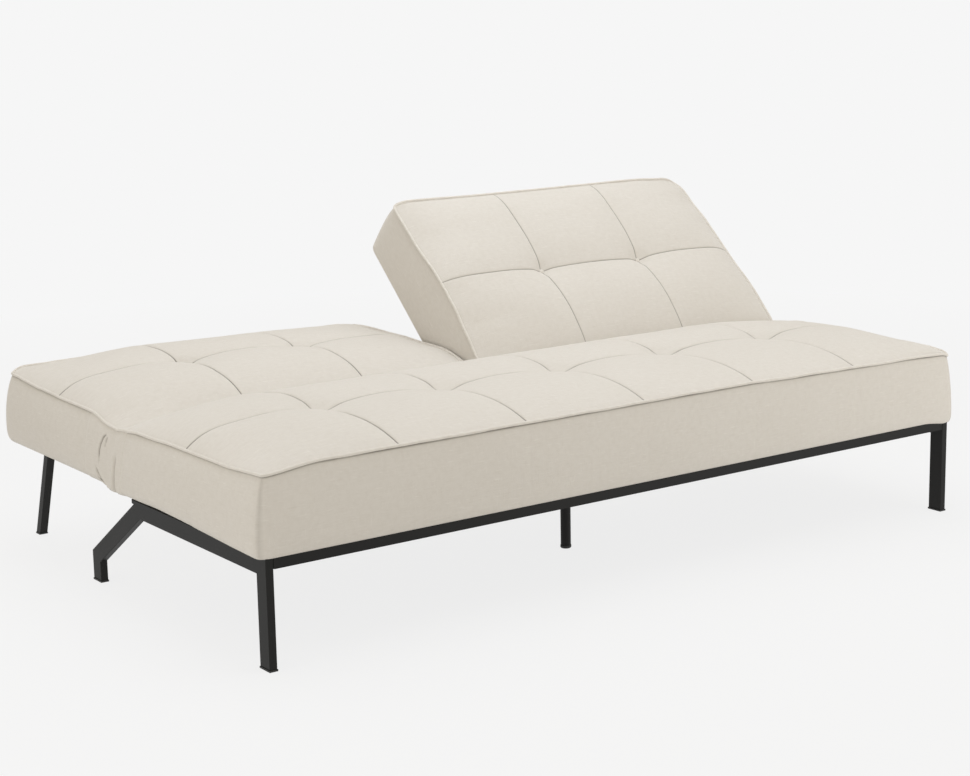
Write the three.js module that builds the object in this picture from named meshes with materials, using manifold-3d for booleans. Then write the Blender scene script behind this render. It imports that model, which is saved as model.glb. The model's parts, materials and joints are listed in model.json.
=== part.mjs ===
// A click clack sofa bed: a steel base, a tufted seat and two tufted back halves on ratchet hinges.
// Lengths are in millimetres. X runs along the bed, its front faces -Y and Z is up from the floor.
import * as THREE from "three";
import { mergeVertices } from "three/addons/utils/BufferGeometryUtils.js";
import Module from "manifold-3d";

const wasm = await Module();
wasm.setup();

// Overall sizes
const bedLength = 1980;
const frontToHinge = 706;
const hingeY = 30;
const hingeZ = 327;
const backLength = 559;
const backGap = 10;
const frontY = hingeY - frontToHinge;
const halfLength = bedLength / 2;

// Positions that the ratchet holds, and the one in which each half stands here
const positionAngles = [0, 43.4, 72];
const halves = [
  { name: "left", side: -1, raised: positionAngles[0] },
  { name: "right", side: 1, raised: positionAngles[1] },
];

// Clearances
const fit = 0.3;
const overrun = 2;
const turningGap = 2;

// Base of flat steel tube
const railTop = 240;
const tubeDepth = 40;
const tubeWidth = 18;
const tubeWall = 1.5;
const tubeChamfer = 1.2;
const slopeAngle = 34;
const railEndBeforeHinge = 100;
const railEndStep = 9;
const railEndHeight = 10.5;
const footRearBehindHinge = 125;
const tabLength = 60;
const tabWidth = 34;
const tabThickness = 4;
const tabAtShares = [0.16, 0.8];
const crossTube = 25;
const rearRailBeforeHinge = 140;
const middleLegX = 30;
const middleLegRadius = 12.5;
const middleLegShare = 0.526;
const beamWidth = 40;
const padPlate = 60;
const padThickness = 4;

// Plastic feet
const footThickness = 4;
const footLip = 1;
const plugHeight = 16;
const roundFootHeight = 7;

// Seat frame of square tube, and its springs
const seatTube = 30;
const bandWall = 12;
const seatFrameZ = railTop + fit;
const seatFrameBeforeHinge = 113;
const seatFrameRear = hingeY - seatFrameBeforeHinge;
const springRadius = 1.9;
const springsPerHalf = 5;
const springWaves = 4;
const springSwing = 22;
const springArch = 24;
const springSides = 4;
const springStepsPerWave = 6;
const tieWireShares = [0.3, 0.7];

// Cushions
const seatBottom = railTop + fit;
const pipingInset = 3;
const bandBulge = 9;
const innerBulge = 3;
const columns = 3;
const seatCornerRadius = 15;
const seatRecessTop = 325;
const seatLipBeforeHinge = 53;
const noseRadius = 87;
const noseTopReach = 47;
const backBottom = 254;
const backCornerRadius = 26;
const backRecessTop = 332;
const backRecessFront = 50;
const backRecessRearWall = 18;
const backSideWall = 38;
const innerWall = 6;
const coverThickness = 1.5;

// Heights of the cushions' tops
const seatFrontEdge = 411;
const seatRearEdge = 398;
const seatLipHeight = 387;
const backFrontEdge = 410;
const backRearEdge = 419;
const valleyHeight = 387;
const edgeRise = 14;
const crown = 22;
const puff = 13;
const seamRise = 7;
const tuftDip = 9;
const tuftRadius = 38;
const fullness = 0.55;
const flatness = 4;
const settling = 2.2;
const noseLineShares = [0, 0.35, 0.6, 0.8];

// Frame, webbing and leg of a back half
const backTube = 25;
const backFrameFront = 52;
const backFrameInset = 29;
const backFrameRear = backLength - backFrameInset;
const strapWidth = 50;
const strapThickness = 1.5;
const longStrapShares = [0.2, 0.5, 0.8];
const crossStraps = 6;
const legLean = 20;
const legFloorPastBack = 18;
const legFloorBehindHinge = backLength + legFloorPastBack;
const legTube = 20;
const legFromEnd = 66.5;
const legPlateLength = 60;
const legPlateWidth = 44;
const legPlateThickness = 4;

// Click clack hinge
const plateThickness = 4;
const pinRadius = 5;
const pinHeadRadius = 9;
const pinHeadThickness = 3;
const hubRadius = 22;
const rimRadius = 34;
const notchDepth = 5;
const notchHalfAngle = 6;
const notchSlopeAngle = 9;
const rimEndAngle = 300;
const rimStartAngle = 180;
const contactAngle = 272;
const pawlReach = 30;
const pawlLift = 12;
const pawlBossRadius = 6;
const pawlTipWidth = 5;
const pawlTipClearance = 0.4;
const pawlDepth = 8;
const pawlNeckDrop = 3.5;
const pawlTail = 12;
const studRadius = 3;
const studHeadRadius = 4.6;
const studHeadThickness = 1.5;
const springPegZ = 256;
const springPegRadius = 1.5;
const pawlSpringRadius = 2;
const pawlSpringRibs = 7;
const springGrooveShare = 0.7;
const boltRadius = 6;
const boltHeight = 4;
const boltSides = 6;
const seatArmLength = 230;
const seatArmLow = 243;
const seatArmHigh = 266;
const neckFront = 38;
const neckRear = 24;
const backArmEnd = 170;
const seatBoltShares = [0.15, 0.4];
const armBoltShares = [0.3, 0.8];
const backArmMargin = 2.5;
const slotOutside = 3.5;
const slotInside = 20;
const slotRadius = 95;
const slotFromAngle = 138;
const slotToAngle = 296;
const pocketRadius = 46;
const pawlPocketRadius = 60;
const pawlPocketFromAngle = 120;

// Numbers of facets
const roundSides = 20;
const noseSides = 72;
const outlineSteps = 6;

const steel = { color: 0x2b2926, roughness: 0.45, metalness: 0.3 };
const zinc = { color: 0xb9bab8, roughness: 0.35, metalness: 0.9 };
const linen = { color: 0xd9d2c5, roughness: 0.95, metalness: 0 };
const lining = { color: 0x2e2e30, roughness: 0.95, metalness: 0 };
const plastic = { color: 0x161616, roughness: 0.6, metalness: 0 };
const webbing = { color: 0xe6e2d8, roughness: 0.9, metalness: 0 };

const radians = THREE.MathUtils.degToRad;
const lerp = THREE.MathUtils.lerp;

// A closed solid from a geometry whose shared corners are merged
function solid(geometry) {
  const bare = new THREE.BufferGeometry();
  bare.setAttribute("position", geometry.getAttribute("position"));
  if (geometry.index) bare.setIndex(geometry.index);
  const merged = mergeVertices(bare, 1e-4);
  const vertProperties = merged.attributes.position.array;
  const triVerts = new Uint32Array(merged.index.array);
  return new wasm.Manifold(new wasm.Mesh({ numProp: 3, vertProperties, triVerts }));
}

// A geometry for drawing from a solid
function geometryOf(body) {
  const mesh = body.getMesh();
  const geometry = new THREE.BufferGeometry();
  geometry.setAttribute("position", new THREE.BufferAttribute(mesh.vertProperties, 3));
  geometry.setIndex(new THREE.BufferAttribute(mesh.triVerts, 1));
  geometry.computeVertexNormals();
  return geometry;
}

function addPart(parent, name, body, finish) {
  const mesh = new THREE.Mesh(geometryOf(body), new THREE.MeshStandardMaterial(finish));
  mesh.name = name;
  parent.add(mesh);
  return mesh;
}

// A block between two corners
function block([x0, y0, z0], [x1, y1, z1]) {
  const geometry = new THREE.BoxGeometry(Math.abs(x1 - x0), Math.abs(y1 - y0), Math.abs(z1 - z0));
  geometry.translate((x0 + x1) / 2, (y0 + y1) / 2, (z0 + z1) / 2);
  return solid(geometry);
}

// A square tube between two corners, open at its ends along one axis (0 is X and 1 is Y)
function hollowTube(a, b, axis) {
  const low = a.map((value, i) => Math.min(value, b[i]));
  const high = a.map((value, i) => Math.max(value, b[i]));
  const inset = (i) => (i === axis ? -overrun : tubeWall);
  const bore = block(
    low.map((value, i) => value + inset(i)),
    high.map((value, i) => value - inset(i)),
  );
  return block(low, high).subtract(bore);
}

// An outline of points (y, z) drawn out along X, with chamfered long edges if asked
function slab(points, xa, xb, chamfer = 0) {
  const shape = new THREE.Shape(points.map(([y, z]) => new THREE.Vector2(y, z)));
  const geometry = new THREE.ExtrudeGeometry(shape, {
    depth: Math.abs(xb - xa) - chamfer * 2,
    bevelEnabled: chamfer > 0,
    bevelThickness: chamfer,
    bevelSize: chamfer,
    bevelOffset: -chamfer,
    bevelSegments: 1,
  });
  const yzx = new THREE.Matrix4().makeBasis(
    new THREE.Vector3(0, 1, 0),
    new THREE.Vector3(0, 0, 1),
    new THREE.Vector3(1, 0, 0),
  );
  geometry.applyMatrix4(yzx);
  geometry.translate(Math.min(xa, xb) + chamfer, 0, 0);
  return solid(geometry);
}

// A round bar along X
function barX(radius, xa, xb, y, z, sides = roundSides) {
  const geometry = new THREE.CylinderGeometry(radius, radius, Math.abs(xb - xa), sides);
  geometry.rotateZ(Math.PI / 2);
  geometry.translate((xa + xb) / 2, y, z);
  return solid(geometry);
}

// A round piece on a vertical axis, from its profile of points (radius, z)
function turned(profile, x, y, sides = roundSides) {
  const points = profile.map(([radius, z]) => new THREE.Vector2(radius, z));
  const geometry = new THREE.LatheGeometry(points, sides);
  geometry.rotateX(Math.PI / 2);
  geometry.translate(x, y, 0);
  return solid(geometry);
}

function polar(radius, angle) {
  return [radius * Math.cos(radians(angle)), radius * Math.sin(radians(angle))];
}

// Points along an arc about the origin
function arc(radius, from, to, steps = outlineSteps) {
  const at = (i) => polar(radius, lerp(from, to, i / steps));
  return Array.from({ length: steps + 1 }, (_, i) => at(i));
}

function aboutHinge(points) {
  return points.map(([dy, dz]) => [hingeY + dy, hingeZ + dz]);
}

// An outline that runs counter-clockwise, moved inwards by a wall
function insetOutline(points, wall) {
  const count = points.length;
  const edges = points.map(([y, z], i) => {
    const [toY, toZ] = points[(i + 1) % count];
    const length = Math.hypot(toY - y, toZ - z);
    const along = [(toY - y) / length, (toZ - z) / length];
    return { along, from: [y - along[1] * wall, z + along[0] * wall] };
  });
  return edges.map((edge, i) => {
    const before = edges[(i + count - 1) % count];
    const cross = before.along[0] * edge.along[1] - before.along[1] * edge.along[0];
    const [dy, dz] = [edge.from[0] - before.from[0], edge.from[1] - before.from[1]];
    const run = (dy * edge.along[1] - dz * edge.along[0]) / cross;
    return [before.from[0] + before.along[0] * run, before.from[1] + before.along[1] * run];
  });
}

// The tube outline of a side frame: leg, rail, slope and rear foot in one welded piece
function sideFrameOutline(bottom) {
  const rise = Math.tan(radians(slopeAngle));
  const railEndY = hingeY - railEndBeforeHinge;
  const slopeStartY = railEndY - railEndStep;
  const slopeStartZ = railTop - railEndHeight;
  const rearY = hingeY + footRearBehindHinge;
  const footFrontY = rearY - tubeDepth;
  const railLow = railTop - tubeDepth;
  const slopeZ = (y) => slopeStartZ - (y - slopeStartY) * rise;
  const slopeDepth = tubeDepth / Math.cos(radians(slopeAngle));
  const lowJointY = slopeStartY + (slopeStartZ - slopeDepth - railLow) / rise;
  return [
    [frontY, bottom],
    [frontY + tubeDepth, bottom],
    [frontY + tubeDepth, railLow],
    [lowJointY, railLow],
    [footFrontY, slopeZ(footFrontY) - slopeDepth],
    [footFrontY, bottom],
    [rearY, bottom],
    [rearY, slopeZ(rearY)],
    [slopeStartY, slopeStartZ],
    [railEndY, slopeStartZ],
    [railEndY, railTop],
    [frontY, railTop],
  ];
}

// A side frame of tube, hollow throughout and open at its two feet, with tabs for the seat frame
function sideFrame(side) {
  const outer = side * halfLength;
  const inner = side * (halfLength - tubeWidth);
  const bore = insetOutline(sideFrameOutline(-overrun - tubeWall), tubeWall);
  let frame = slab(sideFrameOutline(footThickness + fit), outer, inner, tubeChamfer);
  frame = frame.subtract(slab(bore, outer - side * tubeWall, inner + side * tubeWall));
  for (const share of tabAtShares) {
    const y = lerp(frontY, seatFrameRear, share);
    const tab = block(
      [inner + side * tubeWall, y, railTop - tabThickness],
      [inner - side * tabWidth, y + tabLength, railTop],
    );
    frame = frame.add(tab.add(tabBolt(side, y + tabLength / 2)));
  }
  return frame;
}

// The screw head under a tab that holds the seat frame down
function tabBolt(side, y) {
  const x = side * (halfLength - tubeWidth - tabWidth / 2);
  const top = railTop - tabThickness + overrun;
  const profile = [
    [0, top - overrun - boltHeight],
    [boltRadius, top - overrun - boltHeight],
    [boltRadius, top],
    [0, top],
  ];
  return turned(profile, x, y, boltSides);
}

// A foot for a tube end of the base, with its plug
function tubeFoot(side, y0) {
  const outer = side * halfLength;
  const inner = side * (halfLength - tubeWidth);
  const flange = block(
    [outer + side * footLip, y0 - footLip, 0],
    [inner - side * footLip, y0 + tubeDepth + footLip, footThickness],
  );
  const plug = block(
    [outer - side * (tubeWall + fit), y0 + tubeWall + fit, 0],
    [inner + side * (tubeWall + fit), y0 + tubeDepth - tubeWall - fit, footThickness + plugHeight],
  );
  return flange.add(plug);
}

function crossRail(y) {
  const reach = halfLength - tubeWidth - fit;
  const low = railTop - crossTube;
  const outline = [
    [y, low],
    [y + crossTube, low],
    [y + crossTube, railTop],
    [y, railTop],
  ];
  const bore = insetOutline(outline, tubeWall);
  return slab(outline, -reach, reach, tubeChamfer).subtract(
    slab(bore, -halfLength, halfLength),
  );
}

const rearRailY = hingeY - rearRailBeforeHinge;

// The beam that carries the middle leg, low enough to clear the dust cover
function centreBeam() {
  const low = railTop - crossTube;
  return hollowTube(
    [middleLegX - beamWidth / 2, frontY + crossTube + fit, low],
    [middleLegX + beamWidth / 2, rearRailY - fit, railTop - coverThickness - fit],
    1,
  );
}

const middleLegY = lerp(frontY, hingeY - seatLipBeforeHinge, middleLegShare);

// The round leg under the middle, with its flange and an open lower end
function middleLeg() {
  const top = railTop - crossTube - fit;
  const plateLow = top - padThickness;
  const bottom = roundFootHeight + fit;
  const bore = middleLegRadius - tubeWall;
  const tube = turned(
    [
      [0, plateLow],
      [bore, plateLow],
      [bore, bottom],
      [middleLegRadius, bottom],
      [middleLegRadius, plateLow + overrun],
      [0, plateLow + overrun],
    ],
    middleLegX,
    middleLegY,
  );
  const plate = block(
    [middleLegX - padPlate / 2, middleLegY - padPlate / 2, plateLow],
    [middleLegX + padPlate / 2, middleLegY + padPlate / 2, top],
  );
  return tube.add(plate);
}

function middleFoot() {
  const outer = middleLegRadius + footLip;
  const plug = middleLegRadius - tubeWall - fit;
  const profile = [
    [0, 0],
    [outer - footLip * 2, 0],
    [outer, footLip * 2],
    [outer, roundFootHeight],
    [plug, roundFootHeight],
    [plug, roundFootHeight + plugHeight],
    [0, roundFootHeight + plugHeight],
  ];
  return turned(profile, middleLegX, middleLegY);
}

// Where each hinge stands: the face of the seat tube that carries it, and the way the stack goes
const seatSideFace = halfLength - bandWall - fit * 2 - seatTube;
const centreFace = seatTube / 2;

function hingeStack(side, place) {
  const face = side * (place === "outer" ? seatSideFace : centreFace);
  const way = place === "outer" ? -side : side;
  const at = (distance) => face + way * distance;
  const armStart = fit + plateThickness + fit;
  return {
    name: place,
    at,
    way,
    plate: [at(fit), at(fit + plateThickness)],
    arm: [at(armStart), at(armStart + plateThickness)],
    tube: [at(armStart + plateThickness + fit), at(armStart + plateThickness + fit + backTube)],
    slot: [at(-slotOutside), at(slotInside)],
  };
}

const seatFrameFront = frontY + bandWall + fit * 2;
const seatFrameTop = seatFrameZ + seatTube;

function seatTubes(base) {
  for (const { name, side } of halves) {
    const face = side * seatSideFace;
    const tube = hollowTube(
      [face, seatFrameFront, seatFrameZ],
      [face + side * seatTube, seatFrameRear, seatFrameTop],
      1,
    );
    addPart(base, `seat_tube_${name}`, tube, steel);
    const rearEnds = [
      hingeStack(side, "outer").plate[1] - side * fit,
      hingeStack(side, "inner").plate[1] + side * fit,
    ];
    const rear = hollowTube(
      [rearEnds[0], seatFrameRear - seatTube, seatFrameZ],
      [rearEnds[1], seatFrameRear, seatFrameTop],
      0,
    );
    addPart(base, `seat_tube_rear_${name}`, rear, steel);
  }
  const reach = seatSideFace - fit;
  const front = hollowTube(
    [-reach, seatFrameFront, seatFrameZ],
    [reach, seatFrameFront + seatTube, seatFrameTop],
    0,
  );
  addPart(base, "seat_tube_front", front, steel);
  const centre = hollowTube(
    [-centreFace, seatFrameFront + seatTube + fit, seatFrameZ],
    [centreFace, seatFrameRear, seatFrameTop],
    1,
  );
  addPart(base, "seat_tube_centre", centre, steel);
}

// Wire drawn along a curve
function wire(curve, steps) {
  const section = new THREE.Shape(
    arc(springRadius, 0, 360 - 360 / springSides, springSides - 1).map(
      ([a, b]) => new THREE.Vector2(a, b),
    ),
  );
  return solid(new THREE.ExtrudeGeometry(section, { steps, extrudePath: curve }));
}

class SpringCurve extends THREE.Curve {
  constructor(x, from, to) {
    super();
    Object.assign(this, { x, from, to });
  }
  getPoint(t) {
    const swing = springSwing * Math.sin(t * springWaves * 2 * Math.PI);
    const height = seatFrameTop + fit + springRadius + springArch * Math.sin(t * Math.PI);
    return new THREE.Vector3(this.x + swing, lerp(this.from, this.to, t), height);
  }
}

// Zigzag springs from the front tube to the rear tubes, held at their pitch by two tie wires
function seatSprings() {
  const from = seatFrameFront + seatTube / 2;
  const to = seatFrameRear - seatTube / 2;
  const pitch = (seatSideFace - centreFace) / springsPerHalf;
  let deck = null;
  for (const { side } of halves)
    for (let i = 0; i < springsPerHalf; i++) {
      const x = side * (centreFace + pitch * (i + 1 / 2));
      const spring = wire(new SpringCurve(x, from, to), springWaves * springStepsPerWave);
      deck = deck ? deck.add(spring) : spring;
    }
  const reach = seatSideFace - pitch / 2 + springSwing;
  for (const share of tieWireShares) {
    const { y, z } = new SpringCurve(0, from, to).getPoint(share);
    const tie = new THREE.LineCurve3(
      new THREE.Vector3(-reach, y, z),
      new THREE.Vector3(reach, y, z),
    );
    deck = deck.add(wire(tie, 1));
  }
  return deck;
}

// Shares of a panel at which the cushion's grid has a line, close beside its seams
const panelShares = [0, 0.07, 0.24, 0.5, 0.76, 0.93];
const bandShares = [0.12, 0.5, 0.88, 1];

function gridLines(from, to, panels) {
  const size = (to - from) / panels;
  const lines = [];
  for (let i = 0; i < panels; i++)
    for (const share of panelShares) lines.push(from + size * (i + share));
  return [...lines, to];
}

// A cushion as a closed skin: a modelled top, bulging bands and a flat bottom
// The band that faces the other half, on side innerWay, bulges less than the rest
function cushionBody({ xs, ys, radius, top, bottom, roundFront = true, innerWay = 0 }) {
  const [x0, x1] = [xs[0], xs.at(-1)];
  const [y0, y1] = [ys[0], ys.at(-1)];
  const places = [];
  const triangles = [];
  const rounded = (x, y) => {
    const cx = THREE.MathUtils.clamp(x, x0 + radius, x1 - radius);
    const frontLimit = roundFront ? y0 + radius : y0;
    const rearLimit = roundFront ? y1 : y1 - radius;
    const cy = THREE.MathUtils.clamp(y, frontLimit, rearLimit);
    const distance = Math.hypot(x - cx, y - cy);
    if (distance <= radius) return [x, y];
    return [cx + ((x - cx) * radius) / distance, cy + ((y - cy) * radius) / distance];
  };
  for (const y of ys)
    for (const x of xs) places.push([...rounded(x, y), top(x, y)]);
  const id = (i, j) => j * xs.length + i;
  const quad = (a, b, c, d) => triangles.push(a, b, c, a, c, d);
  for (let j = 0; j + 1 < ys.length; j++)
    for (let i = 0; i + 1 < xs.length; i++) quad(id(i, j), id(i + 1, j), id(i + 1, j + 1), id(i, j + 1));
  const lastX = xs.length - 1;
  const lastY = ys.length - 1;
  const ring = [
    ...xs.slice(0, -1).map((_, i) => id(i, 0)),
    ...ys.slice(0, -1).map((_, j) => id(lastX, j)),
    ...xs.slice(1).map((_, i) => id(lastX - i, lastY)),
    ...ys.slice(1).map((_, j) => id(0, lastY - j)),
  ];
  const count = ring.length;
  const outward = ring.map((_, k) => {
    const before = places[ring[(k + count - 1) % count]];
    const after = places[ring[(k + 1) % count]];
    const run = [after[0] - before[0], after[1] - before[1]];
    const length = Math.hypot(...run);
    return [run[1] / length, -run[0] / length];
  });
  let upper = ring;
  for (const share of bandShares) {
    const lower = ring.map((edge, k) => {
      const [x, y, z] = places[edge];
      const inward = Math.max(0, outward[k][0] * innerWay);
      const bulge = lerp(bandBulge, innerBulge, inward) * Math.sin(Math.PI * share);
      places.push([x + outward[k][0] * bulge, y + outward[k][1] * bulge, lerp(z, bottom, share)]);
      return places.length - 1;
    });
    for (let k = 0; k < count; k++) {
      const next = (k + 1) % count;
      quad(upper[k], lower[k], lower[next], upper[next]);
    }
    upper = lower;
  }
  places.push([(x0 + x1) / 2, (y0 + y1) / 2, bottom]);
  for (let k = 0; k < count; k++) triangles.push(upper[(k + 1) % count], upper[k], places.length - 1);
  const geometry = new THREE.BufferGeometry();
  geometry.setAttribute("position", new THREE.Float32BufferAttribute(places.flat(), 3));
  geometry.setIndex(triangles);
  return solid(geometry);
}

const wave = (share) => Math.sin(Math.PI * THREE.MathUtils.clamp(share, 0, 1));
// How much the padding stands above the line of its edges, from its seams, panels and tufts
function padding(alongShare, panelX, panelY, depthShare, panelSize) {
  const ends = 1 - alongShare ** (flatness * 2);
  const bow = crown * wave(depthShare) ** fullness * ends;
  const pillow = puff * (wave(panelX) * wave(panelY)) ** fullness;
  const seam = seamRise * wave(panelY) ** fullness * ends;
  const away = Math.hypot(
    Math.min(panelX, 1 - panelX) * panelSize[0],
    (depthShare - 1 / 2) * panelSize[1] * 2,
  );
  const tuft = tuftDip * Math.exp(-((away / tuftRadius) ** 2)) * ends;
  return bow + pillow + seam - tuft;
}

const seatLipY = hingeY - seatLipBeforeHinge;
const columnWidth = halfLength / columns;

// The top of the seat, six panels long and two deep, falling to its lip before the hinge
function seatTop(x, y) {
  const along = Math.abs(x) / halfLength;
  const depth = (y - frontY) / (seatLipY - frontY);
  const edge = lerp(seatFrontEdge, seatRearEdge, Math.min(depth, 1));
  const fall = (seatRearEdge - seatLipHeight) * Math.max(0, depth * 6 - 5);
  const panelX = (Math.abs(x) / columnWidth) % 1;
  const panelY = (Math.min(depth, 1) * 2) % 1;
  const size = [columnWidth, (seatLipY - frontY) / 2];
  const rise = edgeRise * (1 - along ** flatness) * (1 - Math.max(0, depth * 4 - 3));
  return edge - fall + rise + padding(along, panelX, panelY, depth, size);
}

function hingeSlots(side, zLow, zHigh, yFrom, yTo) {
  return ["outer", "inner"].map((place) => {
    const { slot } = hingeStack(side, place);
    return block([slot[0], yFrom, zLow], [slot[1], yTo, zHigh]);
  });
}

// The seat's padding and cover in one, open below for its frame, with a cove for the backs' noses
function seatCushion() {
  const reach = halfLength - pipingInset;
  const front = frontY + pipingInset;
  const beyond = hingeY - noseRadius / 4;
  const xs = [];
  for (const x of gridLines(0, reach, columns)) {
    xs.push(x);
    if (x > 0) xs.unshift(-x);
  }
  const ys = [...gridLines(front, seatLipY, 2), beyond];
  let cushion = cushionBody({
    xs,
    ys,
    radius: seatCornerRadius,
    top: seatTop,
    bottom: seatBottom,
  });
  const wide = halfLength + bandBulge + overrun;
  const cove = barX(noseRadius + turningGap, -wide, wide, hingeY, hingeZ, noseSides);
  const behind = block([-wide, seatLipY, 0], [wide, hingeY + noseRadius, hingeZ * 2]);
  const recess = block(
    [-halfLength + bandWall, frontY + bandWall, 0],
    [halfLength - bandWall, seatFrameRear + fit, seatRecessTop],
  );
  cushion = cushion.subtract(cove).subtract(behind).subtract(recess);
  for (const { side } of halves)
    for (const slot of hingeSlots(side, 0, seatFrameTop, seatFrameRear, hingeY))
      cushion = cushion.subtract(slot);
  return cushion;
}

function seatDustCover() {
  const high = seatBottom;
  const inset = halfLength - tubeWidth - tabWidth - fit;
  return block(
    [-inset, frontY + crossTube + fit, high - coverThickness - fit],
    [inset, rearRailY - fit, high - fit],
  );
}

// Outline of the plate on the seat: an arm under the nose and a neck up to the pivot
function seatPlateOutline() {
  const bossTop = arc(hubRadius, 0, 180, outlineSteps * 2);
  const low = seatArmLow - hingeZ;
  const high = seatArmHigh - hingeZ;
  return aboutHinge([
    [-seatArmLength, low],
    [0, low],
    [neckRear, high],
    ...bossTop,
    [-neckFront, -rimRadius],
    [-neckFront, high],
    [-seatArmLength, high],
  ]);
}

const contactRadius = rimRadius - notchDepth / 2 + pawlTipClearance;

// Where the pawl's stud stands: its reach from the notch along the rim's tangent
function studPlace() {
  const [cy, cz] = polar(contactRadius, contactAngle);
  const [ty, tz] = polar(pawlReach, contactAngle + 90);
  return [hingeY + cy - ty, hingeZ + cz - tz];
}

function springPlace() {
  const [y, z] = studPlace();
  return [y - pawlTail, z];
}

function hingeBolts(stack, face, away, places) {
  return places.map(([y, z]) => barX(boltRadius, face, face + away * boltHeight, y, z, boltSides));
}

function seatPlate(side, place) {
  const stack = hingeStack(side, place);
  const { way, at } = stack;
  const [near, far] = stack.plate;
  const [studY, studZ] = studPlace();
  const [pegY] = springPlace();
  const armEnd = stack.arm[1];
  const boltZ = (seatArmLow + seatArmHigh) / 2;
  const boltPlaces = seatBoltShares.map((share) => [
    lerp(hingeY - seatArmLength, seatFrameRear - seatTube, share),
    boltZ,
  ]);
  let plate = slab(seatPlateOutline(), near, far);
  plate = plate.subtract(
    barX(pinRadius + fit, near - way * overrun, far + way * overrun, hingeY, hingeZ),
  );
  plate = plate
    .add(barX(studRadius, at(plateThickness / 2), armEnd + way * (fit + studHeadThickness), studY, studZ))
    .add(barX(studHeadRadius, armEnd + way * fit, armEnd + way * (fit + studHeadThickness), studY, studZ))
    .add(barX(springPegRadius, at(plateThickness / 2), armEnd, pegY, springPegZ));
  for (const bolt of hingeBolts(stack, far - way * fit, way, boltPlaces)) plate = plate.add(bolt);
  return plate;
}

function pivotPin(side, place) {
  const { plate, arm, way } = hingeStack(side, place);
  const start = plate[0] - way * fit;
  const end = arm[1] + way * fit;
  return barX(pinRadius, start - way, end + way, hingeY, hingeZ)
    .add(barX(pinHeadRadius, start - way * pinHeadThickness, start, hingeY, hingeZ))
    .add(barX(pinHeadRadius, end, end + way * pinHeadThickness, hingeY, hingeZ));
}

// The rim that the pawl clicks over, with one notch for each position of the back
function ratchetRim() {
  const floor = rimRadius - notchDepth;
  const notches = positionAngles.map((raised) => contactAngle - raised).reverse();
  const [last, ...others] = notches;
  const rim = [polar(floor, rimStartAngle), polar(floor, last + notchHalfAngle)];
  rim.push(polar(rimRadius, last + notchHalfAngle));
  for (const notch of others) {
    rim.push(
      polar(rimRadius, notch - notchHalfAngle - notchSlopeAngle),
      polar(floor, notch - notchHalfAngle),
      polar(floor, notch + notchHalfAngle),
      polar(rimRadius, notch + notchHalfAngle),
    );
  }
  rim.push(polar(rimRadius, rimEndAngle));
  return rim;
}

const backTubeLow = backBottom + backArmMargin;

function backArm(side, place) {
  const stack = hingeStack(side, place);
  const low = backTubeLow + backArmMargin - hingeZ;
  const high = backTubeLow + backTube - backArmMargin - hingeZ;
  const outline = aboutHinge([
    ...ratchetRim(),
    [backFrameFront, low],
    [backArmEnd, low],
    [backArmEnd, high],
    [backFrameFront + hubRadius, high],
    ...arc(hubRadius, 0, rimStartAngle, outlineSteps * 2),
  ]);
  const [near, far] = stack.arm;
  const { way } = stack;
  let arm = slab(outline, near, far);
  arm = arm.subtract(
    barX(pinRadius + fit, near - way * overrun, far + way * overrun, hingeY, hingeZ),
  );
  const boltPlaces = armBoltShares.map((share) => [
    hingeY + lerp(backFrameFront, backArmEnd, share),
    hingeZ + (low + high) / 2,
  ]);
  for (const bolt of hingeBolts(stack, near + way * fit, -way, boltPlaces)) arm = arm.add(bolt);
  return arm;
}

// The pawl, drawn along the line from its stud to the notch, in the lifted position
function pawl(side, place) {
  const { arm } = hingeStack(side, place);
  const tipTop = notchDepth / 2 - pawlTipClearance / 2;
  const tipFrom = pawlReach - pawlTipWidth / 2;
  const tipTo = pawlReach + pawlTipWidth / 2;
  const lever = [
    [-pawlTail, -pawlBossRadius / 2],
    [0, -pawlBossRadius],
    [tipTo, -pawlDepth],
    [tipTo, tipTop],
    [tipFrom, tipTop],
    [tipFrom, -pawlNeckDrop],
    [pawlBossRadius * 2, -pawlNeckDrop / 2],
    [0, pawlBossRadius],
    [-pawlTail, pawlBossRadius / 2],
  ];
  const turn = radians(contactAngle + 90 - pawlLift);
  const [studY, studZ] = studPlace();
  const placed = ([u, w]) => [
    studY + u * Math.cos(turn) - w * Math.sin(turn),
    studZ + u * Math.sin(turn) + w * Math.cos(turn),
  ];
  const body = slab(lever.map(placed), arm[0], arm[1]);
  const boss = barX(pawlBossRadius, arm[0], arm[1], studY, studZ);
  const bore = barX(studRadius + fit, arm[0] - overrun, arm[1] + overrun, studY, studZ);
  const boreBack = barX(studRadius + fit, arm[0] + overrun, arm[1] - overrun, studY, studZ);
  return body.add(boss).subtract(bore).subtract(boreBack);
}

// The small tension spring between the pawl's tail and its peg, its turns as ribs
function pawlSpring(side, place) {
  const { arm } = hingeStack(side, place);
  const [y, z] = springPlace();
  const low = springPegZ + springPegRadius + fit;
  const drop = pawlTail * Math.sin(radians(pawlLift + 90 - contactAngle));
  const high = z - pawlBossRadius / 2 - fit - Math.abs(drop) / 2;
  const pitch = (high - low) / pawlSpringRibs;
  const profile = [[0, low]];
  for (let i = 0; i < pawlSpringRibs; i++)
    profile.push(
      [pawlSpringRadius * springGrooveShare, low + pitch * i],
      [pawlSpringRadius, low + pitch * (i + 1 / 2)],
    );
  profile.push([pawlSpringRadius * springGrooveShare, high], [0, high]);
  return turned(profile, (arm[0] + arm[1]) / 2, y, outlineSteps);
}

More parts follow.
